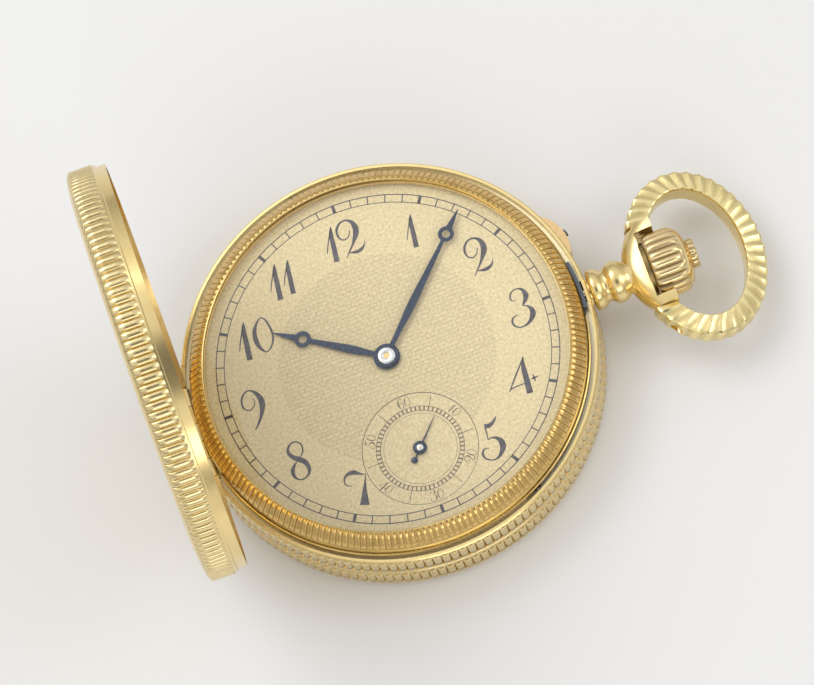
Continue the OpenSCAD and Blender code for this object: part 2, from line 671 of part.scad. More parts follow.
module cuvette() {
    color(gold) difference() {
        turned([[0, 1.5], [cuvette_bore_r - 1.6, 1.5], [cuvette_bore_r - 0.05, 2.7], [cuvette_bore_r - 0.05, back_h - 0.3],
            [groove_in_r + 0.15, back_h - 0.3], [groove_in_r + 0.15, back_h + 0.05],
            [cuvette_bore_r - 0.05, back_h + 0.05], [cuvette_bore_r - 0.05, seat_z + 0.5],
            [cuvette_bore_r - 0.45, seat_z + 0.5], [cuvette_bore_r - 0.45, 2.85], [cuvette_bore_r - 1.75, 1.9],
            [0, 1.9]]);
        translate([cuvette_hinge_x - 3.2, -8, 0]) cube([3, 16, 10]);
        translate([cuvette_hinge_x - 0.6, -cuvette_hinge_len / 2 - 3.5, back_h + 0.05])
            cube([2, cuvette_hinge_len + 7, 3]);
        // room for the back hinge's barrel when the inner cover stands open
        translate([cuvette_hinge_x, 0, cuvette_hinge_z]) rotate([0, -cuvette_swing, 0])
            translate([hinge_x - cuvette_hinge_x, -8, back_hinge_z - cuvette_hinge_z])
                rotate([-90, 0, 0]) cylinder(r = knuckle_r + 0.05, h = 16, $fn = 48);
    }
    color(gold) knuckles(cuvette_hinge_x, cuvette_hinge_z, 1, 3, cuvette_hinge_len, small_knuckle_r,
        small_pin_r, [cuvette_hinge_x - 0.05, cuvette_hinge_x + 0.15], [back_h - 0.1, cuvette_hinge_z]);
}

module front_hinge_pin() {
    color(gold) hinge_pin(hinge_x, front_hinge_z, hinge_len, hinge_pin_r);
}

module back_hinge_pin() {
    color(gold) hinge_pin(hinge_x, back_hinge_z, hinge_len, hinge_pin_r);
}

module cuvette_hinge_pin() {
    color(gold) hinge_pin(cuvette_hinge_x, cuvette_hinge_z, cuvette_hinge_len, small_pin_r);
}

module lift_spring() {
    floor_z = rim_z - groove_depth;
    color(steel) {
        ring_part(spring_r - 0.14, spring_r + 0.12, floor_z + 0.02, floor_z + 1.0, lift_a + 1.2, 148);
        difference() {
            ring_part(spring_r - 0.125, spring_r + 0.105, floor_z + 0.03, floor_z + 0.2, lift_a - 1.5, lift_a + 1.5);
            at(polar(spring_r, lift_a)) cylinder(r = 0.1, h = 30, $fn = 32);
        }
    }
}

module lock_spring() {
    floor_z = rim_z - groove_depth;
    strip_in = lip_in_r - 0.27;
    strip_out = lip_in_r - 0.08;
    color(steel) difference() {
        union() {
            ring_part(strip_in - 0.02, strip_out + 0.02, floor_z + 0.03, floor_z + 0.2, lock_a - 0.8, lock_a + 1.5);
            ring_part(strip_in, strip_out, floor_z + 0.02, floor_z + 1.0, lock_a + 1.2, catch_a1);
            ring_part(strip_in + 0.1, lip_out_r - 0.05, floor_z + 0.55, floor_z + 0.97, catch_a0, catch_a1 - 0.3);
            translate([tongue_x, -1.3, back_h + lip_h + 0.12])
                cube([0.25, 2.3, floor_z + 0.7 - back_h - lip_h - 0.12]);
        }
        at(polar(spring_r, lock_a)) cylinder(r = 0.13, h = 30, $fn = 32);
        translate([tongue_x - 0.5, -0.85, 0]) cube([0.8, 1.35, pend_z + stem_r + 0.05]);
    }
}

module spring_screws() {
    floor_z = rim_z - groove_depth;
    color(steel) for (a = [lock_a, lift_a]) {
        rod(polar(spring_r, a), floor_z - 0.65, floor_z + 0.25, 0.1, 32);
        rod(polar(spring_r, a), floor_z + 0.22, floor_z + 0.4, 0.19, 32);
    }
}

module plate_holes() {
    for (p = [third_p, escape_p, pallet_p, balance_p])
        rod(p, plate_z - 1, plate_z + 0.4, 0.15, 32);
    rod(fourth_p, plate_z - 1, plate_top + 1, 0.18, 32);
    rod(centre_p, plate_z - 1, plate_top + 1, 0.43);
    rod(barrel_p, plate_z - 1, plate_z + 0.5, 0.6 + fit);
}

module main_plate() {
    slot_x = clutch_x - 1.0;
    slot_end = wind_pinion_x + wind_pinion_len + 0.15;
    color(brass) difference() {
        union() {
            rod(centre_p, plate_z, plate_top, move_r, 180);
            rod(centre_p, flange_z + 0.02, plate_top, bore_r - 0.1, 180);
            translate([slot_end, -2, pend_z - 1.2]) cube([move_r - 1.1 - slot_end, 4, plate_z - pend_z + 1.3]);
            translate([slot_x - 1.4, -1.4, pend_z - 1.0]) cube([1.35, 2.8, plate_z - pend_z + 1.1]);
            rod(lever_pivot, key_z - 0.1, plate_z + 0.1, 0.5);
        }
        // recess for the wheels under the dial
        rod(centre_p, pocket_z, plate_top + 1, hour_mod * hour_n / 2 + 0.5, 96);
        rod(minute_p, pocket_z, plate_top + 1, motion_mod * minute_n / 2 + 0.5, 96);
        rod(setting_p, pocket_z, plate_top + 1, motion_mod * setting_n / 2 + 0.35, 96);
        // room for the clutch and the winding pinion
        translate([slot_x, -2.75, plate_z - 1]) cube([slot_end - slot_x, 5.5, 4]);
        rotate(pin_angle) translate([pin_tip_r - 2, -0.8, plate_z - 2]) cube([8, 1.6, 2.3]);
        stem_rod(slot_x - 3, bore_r, stem_r + 0.04);
        plate_holes();
        // the balance swings in a recess
        rod(balance_p, plate_z - 1, plate_z + 0.1, 1.6, 64);
    }
    color(brass) {
        difference() {
            rod(minute_p, pocket_z - 0.05, plate_top - 0.05, 0.5);
            rod(minute_p, pocket_z, plate_top + 1, 0.2, 32);
        }
        rod(setting_p, pocket_z - 0.05, motion_z + motion_t + 0.1, 0.5);
    }
}

module bridge_shape(points) {
    intersection() {
        circle(r = move_r - 0.4, $fn = 180);
        polygon(points);
    }
}

module feet(spots) {
    for (p = spots) rod(p, bridge_z - 0.1, plate_z, 1.5);
}

module screw_holes(spots) {
    for (p = spots) {
        rod(p, bridge_top - 1, bridge_top + 0.5, 1.0);
        rod(p, bridge_top - 1, plate_z + 1, 0.52, 32);
    }
}

module jewel_seats(spots, top) {
    for (p = spots) {
        rod(p, top - 1, top + 0.4, 0.6);
        rod(p, top - 1, top + 4, 0.35, 32);
    }
}

module barrel_bridge() {
    color(nickel) difference() {
        union() {
            translate([0, 0, bridge_top]) linear_extrude(bridge_t)
                bridge_shape([[-band_r, 2.4], [4.4, 2.4], [5.7, -5.95], [band_r, -5.95], [band_r, band_r],
                    [-band_r, band_r]]);
            feet(barrel_feet);
        }
        rod(barrel_p, bridge_top - 1, winding_wheel_z + winding_wheel_t + 0.05, wind_mod * (ratchet_n / 2 + 1.4), 128);
        rod(crown_wheel_p, bridge_top - 1, winding_wheel_z + winding_wheel_t + 0.05,
            wind_mod * (crown_wheel_n / 2 + 1.4), 128);
        rod(barrel_p, bridge_top - 1, bridge_z + 1, 0.6 + fit);
        translate([wind_pinion_x - 0.1, -2.85, bridge_top - 1]) cube([20, 5.7, bridge_t + 2]);
        // room for the clutch, which slides inwards to set the hands
        stem_rod(clutch_x - 0.75, wind_pinion_x, clutch_r + 0.1, 96);
        // seat of the click and its spring
        rod(click_p, bridge_top - 1, winding_wheel_z + winding_wheel_t + 0.05, 1.9, 64);
        translate([0, 0, bridge_top - 1]) linear_extrude(winding_wheel_z + winding_wheel_t + 1.05 - bridge_top)
            bar_2d(click_p, barrel_p, 2.6);
        translate([0, 0, bridge_top - 1]) linear_extrude(winding_wheel_z + winding_wheel_t + 1.05 - bridge_top)
            bar_2d(click_p, click_spring_p, 2.2);
        rod(click_spring_p, bridge_top - 1, winding_wheel_z + winding_wheel_t, 0.75);
        rod(click_spring_p, bridge_top - 1, winding_wheel_z + winding_wheel_t + 0.4, 0.21, 32);
        screw_holes(barrel_feet);
    }
    color(nickel) {
        rod(crown_wheel_p, winding_wheel_z, winding_wheel_z + winding_wheel_t + 0.2, 1.2);
        rod(crown_wheel_p, bridge_top - 0.15, winding_wheel_z, 1.9);
        rod(click_p, winding_wheel_z, winding_wheel_z + winding_wheel_t + 0.2, 0.5);
    }
}

module train_bridge() {
    color(nickel) difference() {
        union() {
            translate([0, 0, bridge_top]) linear_extrude(bridge_t)
                bridge_shape([[-9.5, 2.2], [4.2, 2.2], [5.5, -6.15], [band_r, -6.15], [band_r, -band_r], [-10, -band_r],
                    [-10, -13.5], [-3.8, -9.5]]);
            feet(train_feet);
        }
        rod(balance_p, bridge_top - 1, bridge_z + 1, balance_r + 0.75, 128);
        // room for the ratchet wheel
        rod(barrel_p, bridge_top - 1, winding_wheel_z + winding_wheel_t + 0.05, wind_mod * (ratchet_n / 2 + 1.4), 128);
        jewel_seats([third_p, fourth_p, escape_p], bridge_top);
        rod(centre_p, bridge_top - 1, bridge_z + 1, 0.43);
        screw_holes(train_feet);
    }
}

module balance_cock() {
    color(nickel) difference() {
        union() {
            translate([0, 0, cock_top]) linear_extrude(cock_z - cock_top) {
                translate(balance_p) circle(r = 2.3, $fn = 96);
                bar_2d(balance_p, cock_foot, 3.4);
                translate(cock_foot) circle(r = 2.1, $fn = 96);
            }
            rod(cock_foot, cock_z - 0.1, plate_z, 1.9);
        }
        rod(balance_p, cock_top - 1, cock_top + 0.4, 0.6);
        rod(balance_p, cock_top - 1, cock_z + 1, 0.35, 32);
        rod(balance_p, cock_top - 1, cock_top + 0.3, 1.5, 64);
        rod(cock_foot, cock_top - 1, cock_top + 0.5, 1.0);
        rod(cock_foot, cock_top - 1, plate_z + 1, 0.52, 32);
        rod(stud_p, cock_top - 1, cock_z + 1, 0.35, 32);
    }
}

module pallet_cock() {
    color(nickel) difference() {
        union() {
            translate([0, 0, pallet_cock_z]) linear_extrude(0.5) {
                translate(pallet_p) circle(r = 0.8, $fn = 64);
                bar_2d(pallet_p, pallet_foot, 1.3);
                translate(pallet_foot) circle(r = 1.0, $fn = 64);
            }
            rod(pallet_foot, pallet_cock_z + 0.4, plate_z, 0.95);
        }
        rod(pallet_p, pallet_cock_z - 1, pallet_cock_z + 1, 0.15, 32);
        rod(pallet_foot, pallet_cock_z - 1, plate_z + 1, 0.42, 32);
    }
}

module screw(p, top, head_r, head_h, shank_r, end_z) {
    difference() {
        rod(p, top, top + head_h, head_r);
        at(p, top - 0.1) translate([-2, -0.12, 0]) cube([4, 0.24, 0.25]);
    }
    rod(p, top + head_h - 0.05, end_z, shank_r, 32);
}

module bridge_screws() {
    color(blued) {
        for (p = concat(barrel_feet, train_feet))
            screw(p, bridge_top + 0.03, 0.95, 0.47, 0.5, plate_z - 0.1);
        screw(cock_foot, cock_top + 0.03, 0.95, 0.47, 0.5, plate_z - 0.1);
        screw(pallet_foot, pallet_cock_z - 0.24, 0.75, 0.24, 0.4, plate_z - 0.1);
    }
}

module case_screws() {
    color(blued) for (a = [58, 238]) {
        p = polar(move_r - 0.55, a);
        screw(p, plate_z - 0.5, 1.1, 0.48, 0.4, plate_z - 0.05);
    }
}

module jewel(p, z) {
    difference() {
        rod(p, z, z + 0.34, 0.58);
        rod(p, z - 1, z + 1, 0.15, 32);
    }
}

module jewels() {
    color([0.8, 0.1, 0.3]) {
        for (p = [third_p, fourth_p, escape_p]) jewel(p, bridge_top + 0.04);
        jewel(balance_p, cock_top + 0.34 - 0.28);
    }
}

module arbor(p, z0 = bridge_top + 0.1, z1 = plate_z + 0.35) {
    rod(p, z0, z1, 0.12, 32);
    rod(p, bridge_z + 0.05, plate_z - 0.05, 0.28, 32);
}

module centre_wheel() {
    color(brass) {
        at(centre_p, centre_wheel_z) wheel(centre_n, centre_mod, 0.25, centre_phase, 4, 0.6, 1.5);
        at(centre_p, centre_wheel_z + 0.2) pinion(leaf_n, barrel_mod, barrel_top - centre_wheel_z - 0.2, 0);
        rod(centre_p, bridge_top + 0.1, minute_z + hand_t + 0.05, 0.4);
    }
}

module third_wheel() {
    color(brass) {
        at(third_p, third_wheel_z) wheel(third_n, third_mod, 0.25, 0, 4, 0.5, 0.9);
        at(third_p, centre_wheel_z - 0.1) pinion(leaf_n, centre_mod, third_wheel_z - centre_wheel_z + 0.15,
            third_leaf_phase);
        arbor(third_p);
    }
}

module fourth_wheel() {
    color(brass) {
        at(fourth_p, fourth_wheel_z) wheel(fourth_n, fourth_mod, 0.22, 0, 4, 0.45, 0.8);
        at(fourth_p, third_wheel_z - 0.1) pinion(leaf_n, third_mod, fourth_wheel_z - third_wheel_z + 0.15,
            fourth_leaf_phase);
        arbor(fourth_p, bridge_top + 0.1, seconds_z + 0.35);
    }
}

module escape_wheel() {
    color(steel) {
        at(escape_p, escape_z) linear_extrude(0.2) {
            difference() {
                polygon([for (i = [0 : escape_n - 1],
                    k = [[-0.30, 1.95], [0.05, escape_r - 0.24], [0.10, escape_r - 0.12], [0.22, escape_r - 0.2], [0.18, 1.95]])
                    polar(k[1], (i + k[0]) * 360 / escape_n)]);
                circle(r = 1.75, $fn = 64);
            }
            circle(r = 0.62, $fn = 48);
            for (a = [0, 72, 144, 216, 288])
                rotate(a) translate([0.5, -0.15]) square([1.35, 0.3]);
        }
        at(escape_p, escape_z - 0.1) pinion(escape_leaf_n, fourth_mod, fourth_wheel_z + 0.3 - escape_z,
            escape_leaf_phase);
        arbor(escape_p);
    }
}

module pallet_fork() {
    color(steel) {
        rotate_at = lever_dir;
        at(pallet_p, lever_z) rotate(rotate_at) linear_extrude(0.2) {
            circle(r = 0.5, $fn = 48);
            translate([0, -0.2]) square([3.6, 0.4]);
            translate([3.3, -0.45]) square([0.4, 0.9]);
            translate([3.6, 0.17]) square([0.5, 0.25]);
            translate([3.6, -0.42]) square([0.5, 0.25]);
            for (s = [-1, 1])
                polygon([[0.35, -0.3 * s], [0.3, 0.3 * s], [-1.35, 2.35 * s], [-1.75, 2.25 * s], [-1.67, 2.0 * s],
                    [-1.3, 1.91 * s]]);
        }
        rod(pallet_p, pallet_cock_z + 0.03, plate_z + 0.35, 0.12, 32);
    }
}

module balance_wheel() {
    color(brass) at(balance_p, balance_z) {
        linear_extrude(0.4) {
            difference() {
                circle(r = balance_r - 0.2, $fn = 128);
                circle(r = balance_r - 0.8, $fn = 128);
            }
            translate([-balance_r + 0.5, -0.35]) square([2 * balance_r - 1, 0.7]);
            circle(r = 0.9, $fn = 64);
        }
        for (i = [0 : 13])
            rotate((i + 0.5) * 360 / 14) translate([balance_r - 0.4, 0, 0.2]) rotate([0, 90, 0])
                cylinder(r = 0.22, h = 0.5, $fn = 32);
    }
    color(steel) {
        rod(balance_p, cock_top + 0.12, plate_z + 0.35, 0.12, 32);
        rod(balance_p, cock_z + 0.1, plate_z - 0.1, 0.3, 32);
        rod(balance_p, hairspring_z - 0.05, hairspring_z + 0.25, 0.6, 48);
        rod(balance_p, lever_z - 0.25, lever_z - 0.1, 1.05, 64);
        rod(balance_p + polar(0.8, lever_dir + 180), lever_z - 0.15, lever_z + 0.3, 0.12, 24);
    }
}

module spiral(r0, r1, turns, t, a_end) {
    n = turns * 24;
    polygon(concat(
        [for (i = [0 : n]) polar(r0 + (r1 - r0) * i / n - t / 2, a_end - (n - i) * 15)],
        [for (i = [n : -1 : 0]) polar(r0 + (r1 - r0) * i / n + t / 2, a_end - (n - i) * 15)]));
}

module hairspring() {
    color(blued) at(balance_p, hairspring_z + 0.03) linear_extrude(0.14)
        spiral(0.62, stud_r - 0.1, 9, 0.05, stud_a);
}

module hairspring_stud() {
    color(steel) rod(stud_p, cock_top + 0.35, hairspring_z + 0.2, 0.32, 32);
}

module regulator() {
    color(steel) at(balance_p, cock_top - 0.32) linear_extrude(0.3) difference() {
        union() {
            circle(r = 1.35, $fn = 64);
            rotate(dir(cock_foot, balance_p)) {
                translate([0, -0.22]) square([4.4, 0.44]);
                translate([4.4, 0]) circle(r = 0.36, $fn = 32);
            }
        }
        circle(r = 0.68, $fn = 48);
    }
}

module mainspring() {
    color(steel) at(barrel_p, barrel_z + 0.3) linear_extrude(barrel_teeth_z - barrel_z - 0.4)
        spiral(1.5, barrel_drum_r - 0.62, 11, 0.16, 20);
}

module barrel() {
    color(brass) at(barrel_p, 0) difference() {
        union() {
            translate([0, 0, barrel_teeth_z]) linear_extrude(barrel_top - barrel_teeth_z)
                gear_2d(barrel_n, barrel_mod, barrel_phase);
            translate([0, 0, barrel_z]) cylinder(r = barrel_drum_r, h = barrel_top - barrel_z, $fn = 128);
        }
        translate([0, 0, barrel_z - 1]) cylinder(r = barrel_drum_r - 0.4, h = barrel_teeth_z - barrel_z + 0.9, $fn = 128);
        cylinder(r = 0.6 + fit, h = 30, $fn = 48);
    }
}

module barrel_cover() {
    color(brass) at(barrel_p, barrel_z + 0.02) difference() {
        cylinder(r = barrel_drum_r - 0.42, h = 0.2, $fn = 128);
        translate([0, 0, -1]) cylinder(r = 0.6 + fit, h = 3, $fn = 48);
    }
}

module barrel_arbor() {
    color(steel) {
        rod(barrel_p, winding_wheel_z - 0.2, plate_z + 0.4, 0.6);
        rod(barrel_p, barrel_z + 0.3, barrel_teeth_z - 0.15, 1.3);
    }
}

module ratchet_wheel() {
    color(steel) difference() {
        at(barrel_p, winding_wheel_z) linear_extrude(winding_wheel_t) gear_2d(ratchet_n, wind_mod, ratchet_phase);
        rod(barrel_p, 0, 30, 0.6);
        rod(barrel_p, winding_wheel_z - 1, winding_wheel_z + 0.12, 4.2, 96);
    }
}

module crown_wheel() {
    color(steel) difference() {
        at(crown_wheel_p, winding_wheel_z) linear_extrude(winding_wheel_t)
            gear_2d(crown_wheel_n, wind_mod, crown_wheel_phase, 0.85, 1.15, 0.36);
        rod(crown_wheel_p, 0, 30, 1.2 + fit);
        rod(crown_wheel_p, winding_wheel_z - 1, winding_wheel_z + 0.12, 2.6, 96);
    }
}

module click() {
    color(steel) difference() {
        at(click_p, winding_wheel_z) linear_extrude(winding_wheel_t - 0.05) {
            circle(r = 1.0, $fn = 64);
            rotate(dir(click_p, barrel_p)) polygon([[0, -0.9], [click_reach, -0.12], [click_reach, 0.12], [0.6, 0.85]]);
        }
        rod(click_p, 0, 30, 0.5 + fit);
    }
}

module click_spring() {
    q = click_spring_p;
    a = dir(click_p, click_spring_p);
    color(steel) translate([0, 0, winding_wheel_z]) linear_extrude(winding_wheel_t) {
        translate(q) circle(r = 0.7, $fn = 48);
        translate(click_p) rotate(a) translate([1.08, 0.25]) square([norm(q - click_p) - 1.2, 0.2]);
    }
    color(steel) rod(q, winding_wheel_z + 0.3, winding_wheel_z + winding_wheel_t + 0.35, 0.2, 32);
}

module cannon_pinion() {
    color(steel) difference() {
        union() {
            at(centre_p, motion_z) linear_extrude(motion_t + 0.05) gear_2d(cannon_n, motion_mod, 0, 0.75, 1.2, 0.38);
            rod(centre_p, motion_z + motion_t, minute_z - 0.02, 0.65);
        }
        rod(centre_p, 0, 30, 0.4);
    }
}

module minute_wheel() {
    color(brass) difference() {
        union() {
            at(minute_p, motion_z) wheel(minute_n, motion_mod, motion_t - 0.1, minute_phase, 4, 0.6, 1.1);
            at(minute_p, motion_z + motion_t - 0.15) pinion(minute_leaf_n, hour_mod, plate_top - motion_z - motion_t, 0);
        }
        rod(minute_p, 0, 30, 0.5 + fit);
    }
}

module hour_wheel() {
    color(brass) difference() {
        union() {
            at(centre_p, motion_z + motion_t + 0.1) wheel(hour_n, hour_mod, 0.35, hour_phase, 4, 0.7, 1.35);
            rod(centre_p, motion_z + motion_t + 0.1, hour_z + hand_t, 1.05);
        }
        rod(centre_p, 0, 30, 0.65 + fit);
    }
}

module dial() {
    color([0.83, 0.75, 0.55]) {
        difference() {
            rod(centre_p, dial_z - dial_t, dial_z, dial_r, 180);
            rod(centre_p, 0, 30, 1.25, 64);
            rod(fourth_p, 0, 30, 0.35, 32);
            rod(fourth_p, dial_z - 0.08, 30, seconds_dial_r, 128);
        }
        for (p = dial_feet) rod(p, plate_top + 0.02, dial_z - dial_t + 0.05, 0.5, 32);
    }
}

// Hand with a pierced ring near its tip
module hand_2d(len, ring_x, ring_r, boss, w0, w1, w2) {
    difference() {
        union() {
            circle(r = boss, $fn = 64);
            polygon([[boss * 0.6, -w0 / 2], [ring_x * 0.25, -w0 * 0.3 - w1 * 0.2], [ring_x * 0.36, -w1 * 0.48],
                [ring_x * 0.46, -w1 / 2], [ring_x * 0.6, -w1 * 0.42], [ring_x - ring_r * 0.8, -w2 / 2],
                [ring_x - ring_r * 0.8, w2 / 2], [ring_x * 0.6, w1 * 0.42], [ring_x * 0.46, w1 / 2],
                [ring_x * 0.36, w1 * 0.48], [ring_x * 0.25, w0 * 0.3 + w1 * 0.2], [boss * 0.6, w0 / 2]]);
            translate([ring_x, 0]) circle(r = ring_r, $fn = 48);
            polygon([[ring_x + ring_r * 0.75, -ring_r * 0.42], [len, -0.05], [len, 0.05],
                [ring_x + ring_r * 0.75, ring_r * 0.42]]);
        }
        translate([ring_x, 0]) circle(r = ring_r * 0.52, $fn = 48);
    }
}

module hour_hand() {
    color(blued) difference() {
        at(centre_p, hour_z) rotate(hour_angle) linear_extrude(hand_t)
            hand_2d(hour_len, hour_len * 0.738, 1.0, 1.6, 0.55, 1.0, 0.5);
        rod(centre_p, 0, 30, 1.05);
    }
}

module minute_hand() {
    color(blued) difference() {
        at(centre_p, minute_z) rotate(minute_angle) linear_extrude(hand_t)
            hand_2d(minute_len, minute_len * 0.833, 0.95, 1.35, 0.5, 0.95, 0.4);
        rod(centre_p, 0, 30, 0.4);
    }
}

module seconds_hand() {
    color(blued) difference() {
        at(fourth_p, seconds_z) rotate(seconds_angle) linear_extrude(0.12) {
            circle(r = 0.55, $fn = 48);
            polygon([[-1.6, -0.08], [0, -0.11], [seconds_len, -0.03], [seconds_len, 0.03], [0, 0.11], [-1.6, 0.08]]);
            translate([-1.65, 0]) circle(r = 0.32, $fn = 32);
        }
        rod(fourth_p, 0, 30, 0.12, 32);
    }
}

case_middle();
pendant();
bezel();
crystal();
front_cover();
back_cover();
cuvette();
front_hinge_pin();
back_hinge_pin();
cuvette_hinge_pin();
lift_spring();
lock_spring();
spring_screws();
bow();
bow_screws();
crown();
winding_stem();
winding_pinion();
clutch_wheel();
olivette();
setting_pin();
setting_lever();
setting_wheel();
main_plate();
barrel_bridge();
train_bridge();
balance_cock();
pallet_cock();
bridge_screws();
case_screws();
jewels();
barrel();
barrel_cover();
barrel_arbor();
mainspring();
ratchet_wheel();
crown_wheel();
click();
click_spring();
centre_wheel();
third_wheel();
fourth_wheel();
escape_wheel();
pallet_fork();
balance_wheel();
hairspring();
hairspring_stud();
regulator();
cannon_pinion();
minute_wheel();
hour_wheel();
dial();
hour_hand();
minute_hand();
seconds_hand();
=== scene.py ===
"""Full hunter pocket watch on a pale table: finishes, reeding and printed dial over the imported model."""

import json
import math

import bmesh
import bpy
from mathutils import Matrix, Vector


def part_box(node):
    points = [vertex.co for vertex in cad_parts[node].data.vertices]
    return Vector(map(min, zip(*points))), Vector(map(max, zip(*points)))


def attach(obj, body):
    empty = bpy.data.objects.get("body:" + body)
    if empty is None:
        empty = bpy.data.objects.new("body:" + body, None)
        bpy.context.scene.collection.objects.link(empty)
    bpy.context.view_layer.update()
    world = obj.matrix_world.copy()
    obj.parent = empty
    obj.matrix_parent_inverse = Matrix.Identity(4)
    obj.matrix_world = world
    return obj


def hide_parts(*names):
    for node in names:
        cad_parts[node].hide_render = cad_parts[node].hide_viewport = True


MM = 0.001
FULL_TURN = 2 * math.pi

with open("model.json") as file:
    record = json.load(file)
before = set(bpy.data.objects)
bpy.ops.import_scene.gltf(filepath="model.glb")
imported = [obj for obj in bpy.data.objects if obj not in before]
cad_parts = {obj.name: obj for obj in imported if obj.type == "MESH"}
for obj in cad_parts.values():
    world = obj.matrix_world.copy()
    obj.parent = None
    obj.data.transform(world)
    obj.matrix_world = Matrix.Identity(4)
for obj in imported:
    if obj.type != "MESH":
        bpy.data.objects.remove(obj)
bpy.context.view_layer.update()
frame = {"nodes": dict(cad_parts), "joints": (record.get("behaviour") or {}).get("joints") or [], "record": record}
nodes = frame["nodes"]
joint_at = {j["name"]: j for j in frame["joints"]}

# Sizes of the case, in millimetres, as the solids have them
BAND_R = 25.0
SEAT_Z = 5.1
RIM_Z = 8.9
DIAL_Z = 10.0
SECONDS_FLOOR_Z = DIAL_Z - 0.08
REEDS = 146
BEZEL_REEDS = 196
BEZEL_FOOT_R, BEZEL_FOOT_Z = 23.62, 9.82
BEZEL_TOP_R, BEZEL_TOP_Z = 21.98, 11.64
COVER_R = 24.65
COVER_SEAT = 9.0
COVER_TOP = COVER_SEAT + 3.9
COVER_OPEN = 87.0
SECONDS_AT = 7.1
SECONDS_Y = -12.06
PENDANT_Z = 6.8
BOW_X = 33.1

# Metals: (colour, tarnish, smooth roughness, rough roughness)
YELLOW_GOLD = (0.87, 0.68, 0.32), (0.48, 0.32, 0.10), 0.13, 0.30
ROSE_GOLD = (0.88, 0.63, 0.33), (0.50, 0.27, 0.11), 0.14, 0.30
REEDED_GOLD = (0.83, 0.67, 0.35), (0.52, 0.36, 0.13), 0.14, 0.30
# the bezel's gold, painted darker: painted shade that stands for the darker reflection it shows
BEZEL_PAINTED_SHADE_GOLD = (0.74, 0.51, 0.19), (0.42, 0.25, 0.08), 0.16, 0.34
CROWN_GOLD = (0.90, 0.71, 0.38), (0.52, 0.34, 0.13), 0.14, 0.30
BOW_GOLD = (0.94, 0.79, 0.40), (0.60, 0.42, 0.15), 0.10, 0.24
# dark gold for the pendant's collar: painted shade, so that it reads as a recess
SHADED_GOLD = (0.34, 0.24, 0.10), (0.16, 0.10, 0.04), 0.3, 0.5
PUSH_GOLD = (0.78, 0.55, 0.28), (0.34, 0.20, 0.08), 0.16, 0.34
FROSTED_GILT = (0.78, 0.62, 0.34), (0.5, 0.36, 0.16), 0.38, 0.55
BRUSHED_BRASS = (0.74, 0.54, 0.24), (0.45, 0.3, 0.1), 0.24, 0.4
BRIGHT_STEEL = (0.56, 0.57, 0.58), (0.22, 0.20, 0.18), 0.16, 0.34
POLISHED_STEEL = (0.78, 0.79, 0.80), (0.35, 0.33, 0.30), 0.12, 0.30
BLUED_STEEL = (0.034, 0.047, 0.082), (0.03, 0.03, 0.045), 0.20, 0.36
CATCH_STEEL = (0.13, 0.14, 0.165), (0.06, 0.05, 0.05), 0.22, 0.42

NUMBER, COLOUR, VECTOR = "NodeSocketFloat", "NodeSocketColor", "NodeSocketVector"


class Wires:
    """Adds nodes to one tree. A value given to a socket is either a plain value or another node's output."""

    def __init__(self, tree):
        self.tree = tree

    def feed(self, socket, value):
        if isinstance(value, bpy.types.NodeSocket):
            self.tree.links.new(value, socket)
        else:
            socket.default_value = value

    def add(self, kind, inputs=None, **settings):
        node = self.tree.nodes.new(kind)
        for name, value in settings.items():
            setattr(node, name, value)
        for key, value in (inputs or {}).items():
            self.feed(node.inputs[key], value)
        return node

    def where(self):
        return self.add("ShaderNodeTexCoord").outputs["Object"]

    def math(self, operation, *values):
        return self.add("ShaderNodeMath", dict(enumerate(values)), operation=operation).outputs[0]

    def vector(self, operation, *values):
        node = self.add("ShaderNodeVectorMath", dict(enumerate(values)), operation=operation)
        return node.outputs["Value" if operation in ("LENGTH", "DISTANCE", "DOT_PRODUCT") else "Vector"]

    def scaled(self, vector, factor):
        return self.add("ShaderNodeVectorMath", {0: vector, "Scale": factor}, operation="SCALE").outputs["Vector"]

    def split(self, vector):
        return self.add("ShaderNodeSeparateXYZ", {0: vector}).outputs

    def flat(self, place):
        """The same place with its height dropped."""
        return self.add("ShaderNodeCombineXYZ", {"X": place["X"], "Y": place["Y"]}).outputs[0]

    def between(self, value, low, high, at_low=0.0, at_high=1.0, **settings):
        return self.add("ShaderNodeMapRange", {"Value": value, "From Min": low, "From Max": high, "To Min": at_low,
                                               "To Max": at_high}, **settings).outputs["Result"]

    def noise(self, where, scale, detail=2.0, roughness=0.5):
        return self.add("ShaderNodeTexNoise", {"Vector": where, "Scale": scale, "Detail": detail,
                                               "Roughness": roughness}).outputs["Fac"]

    def mix(self, kind, share, a, b, **settings):
        node = self.add("ShaderNodeMix", {"Factor": share, "A": a, "B": b}, data_type=kind, **settings)
        return node.outputs["Result"]

    def tones(self, share, low, high, low_at=0.0, high_at=1.0):
        """A colour that runs from low to high."""
        node = self.add("ShaderNodeValToRGB", {"Fac": share})
        for stop, colour, at in zip(node.color_ramp.elements, (low, high), (low_at, high_at)):
            stop.position = at
            stop.color = (*colour, 1)
        return node.outputs["Color"]

    def relief(self, height, strength, distance):
        node = self.add("ShaderNodeBump", {"Height": height, "Strength": strength, "Distance": distance})
        return node.outputs["Normal"]


def node_group(name, kind, inputs, outputs):
    """A new tree with named inputs and outputs: gives the tree, its wires, what it is given and what it gives."""
    tree = bpy.data.node_groups.new(name, kind)
    for label, socket_type, value in inputs:
        socket = tree.interface.new_socket(label, in_out="INPUT", socket_type=socket_type)
        if value is not None:
            socket.default_value = value
    for label, socket_type in outputs:
        tree.interface.new_socket(label, in_out="OUTPUT", socket_type=socket_type)
    w = Wires(tree)
    return tree, w, w.add("NodeGroupInput").outputs, w.add("NodeGroupOutput").inputs


def placed(name, mesh, mat=None):
    """An object for a mesh, in the scene, at the origin."""
    if mat is not None:
        mesh.materials.append(mat)
    obj = bpy.data.objects.new(name, mesh)
    bpy.context.scene.collection.objects.link(obj)
    return obj


def rides(obj, body):
    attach(obj, body)
    return obj


# Camera and studio

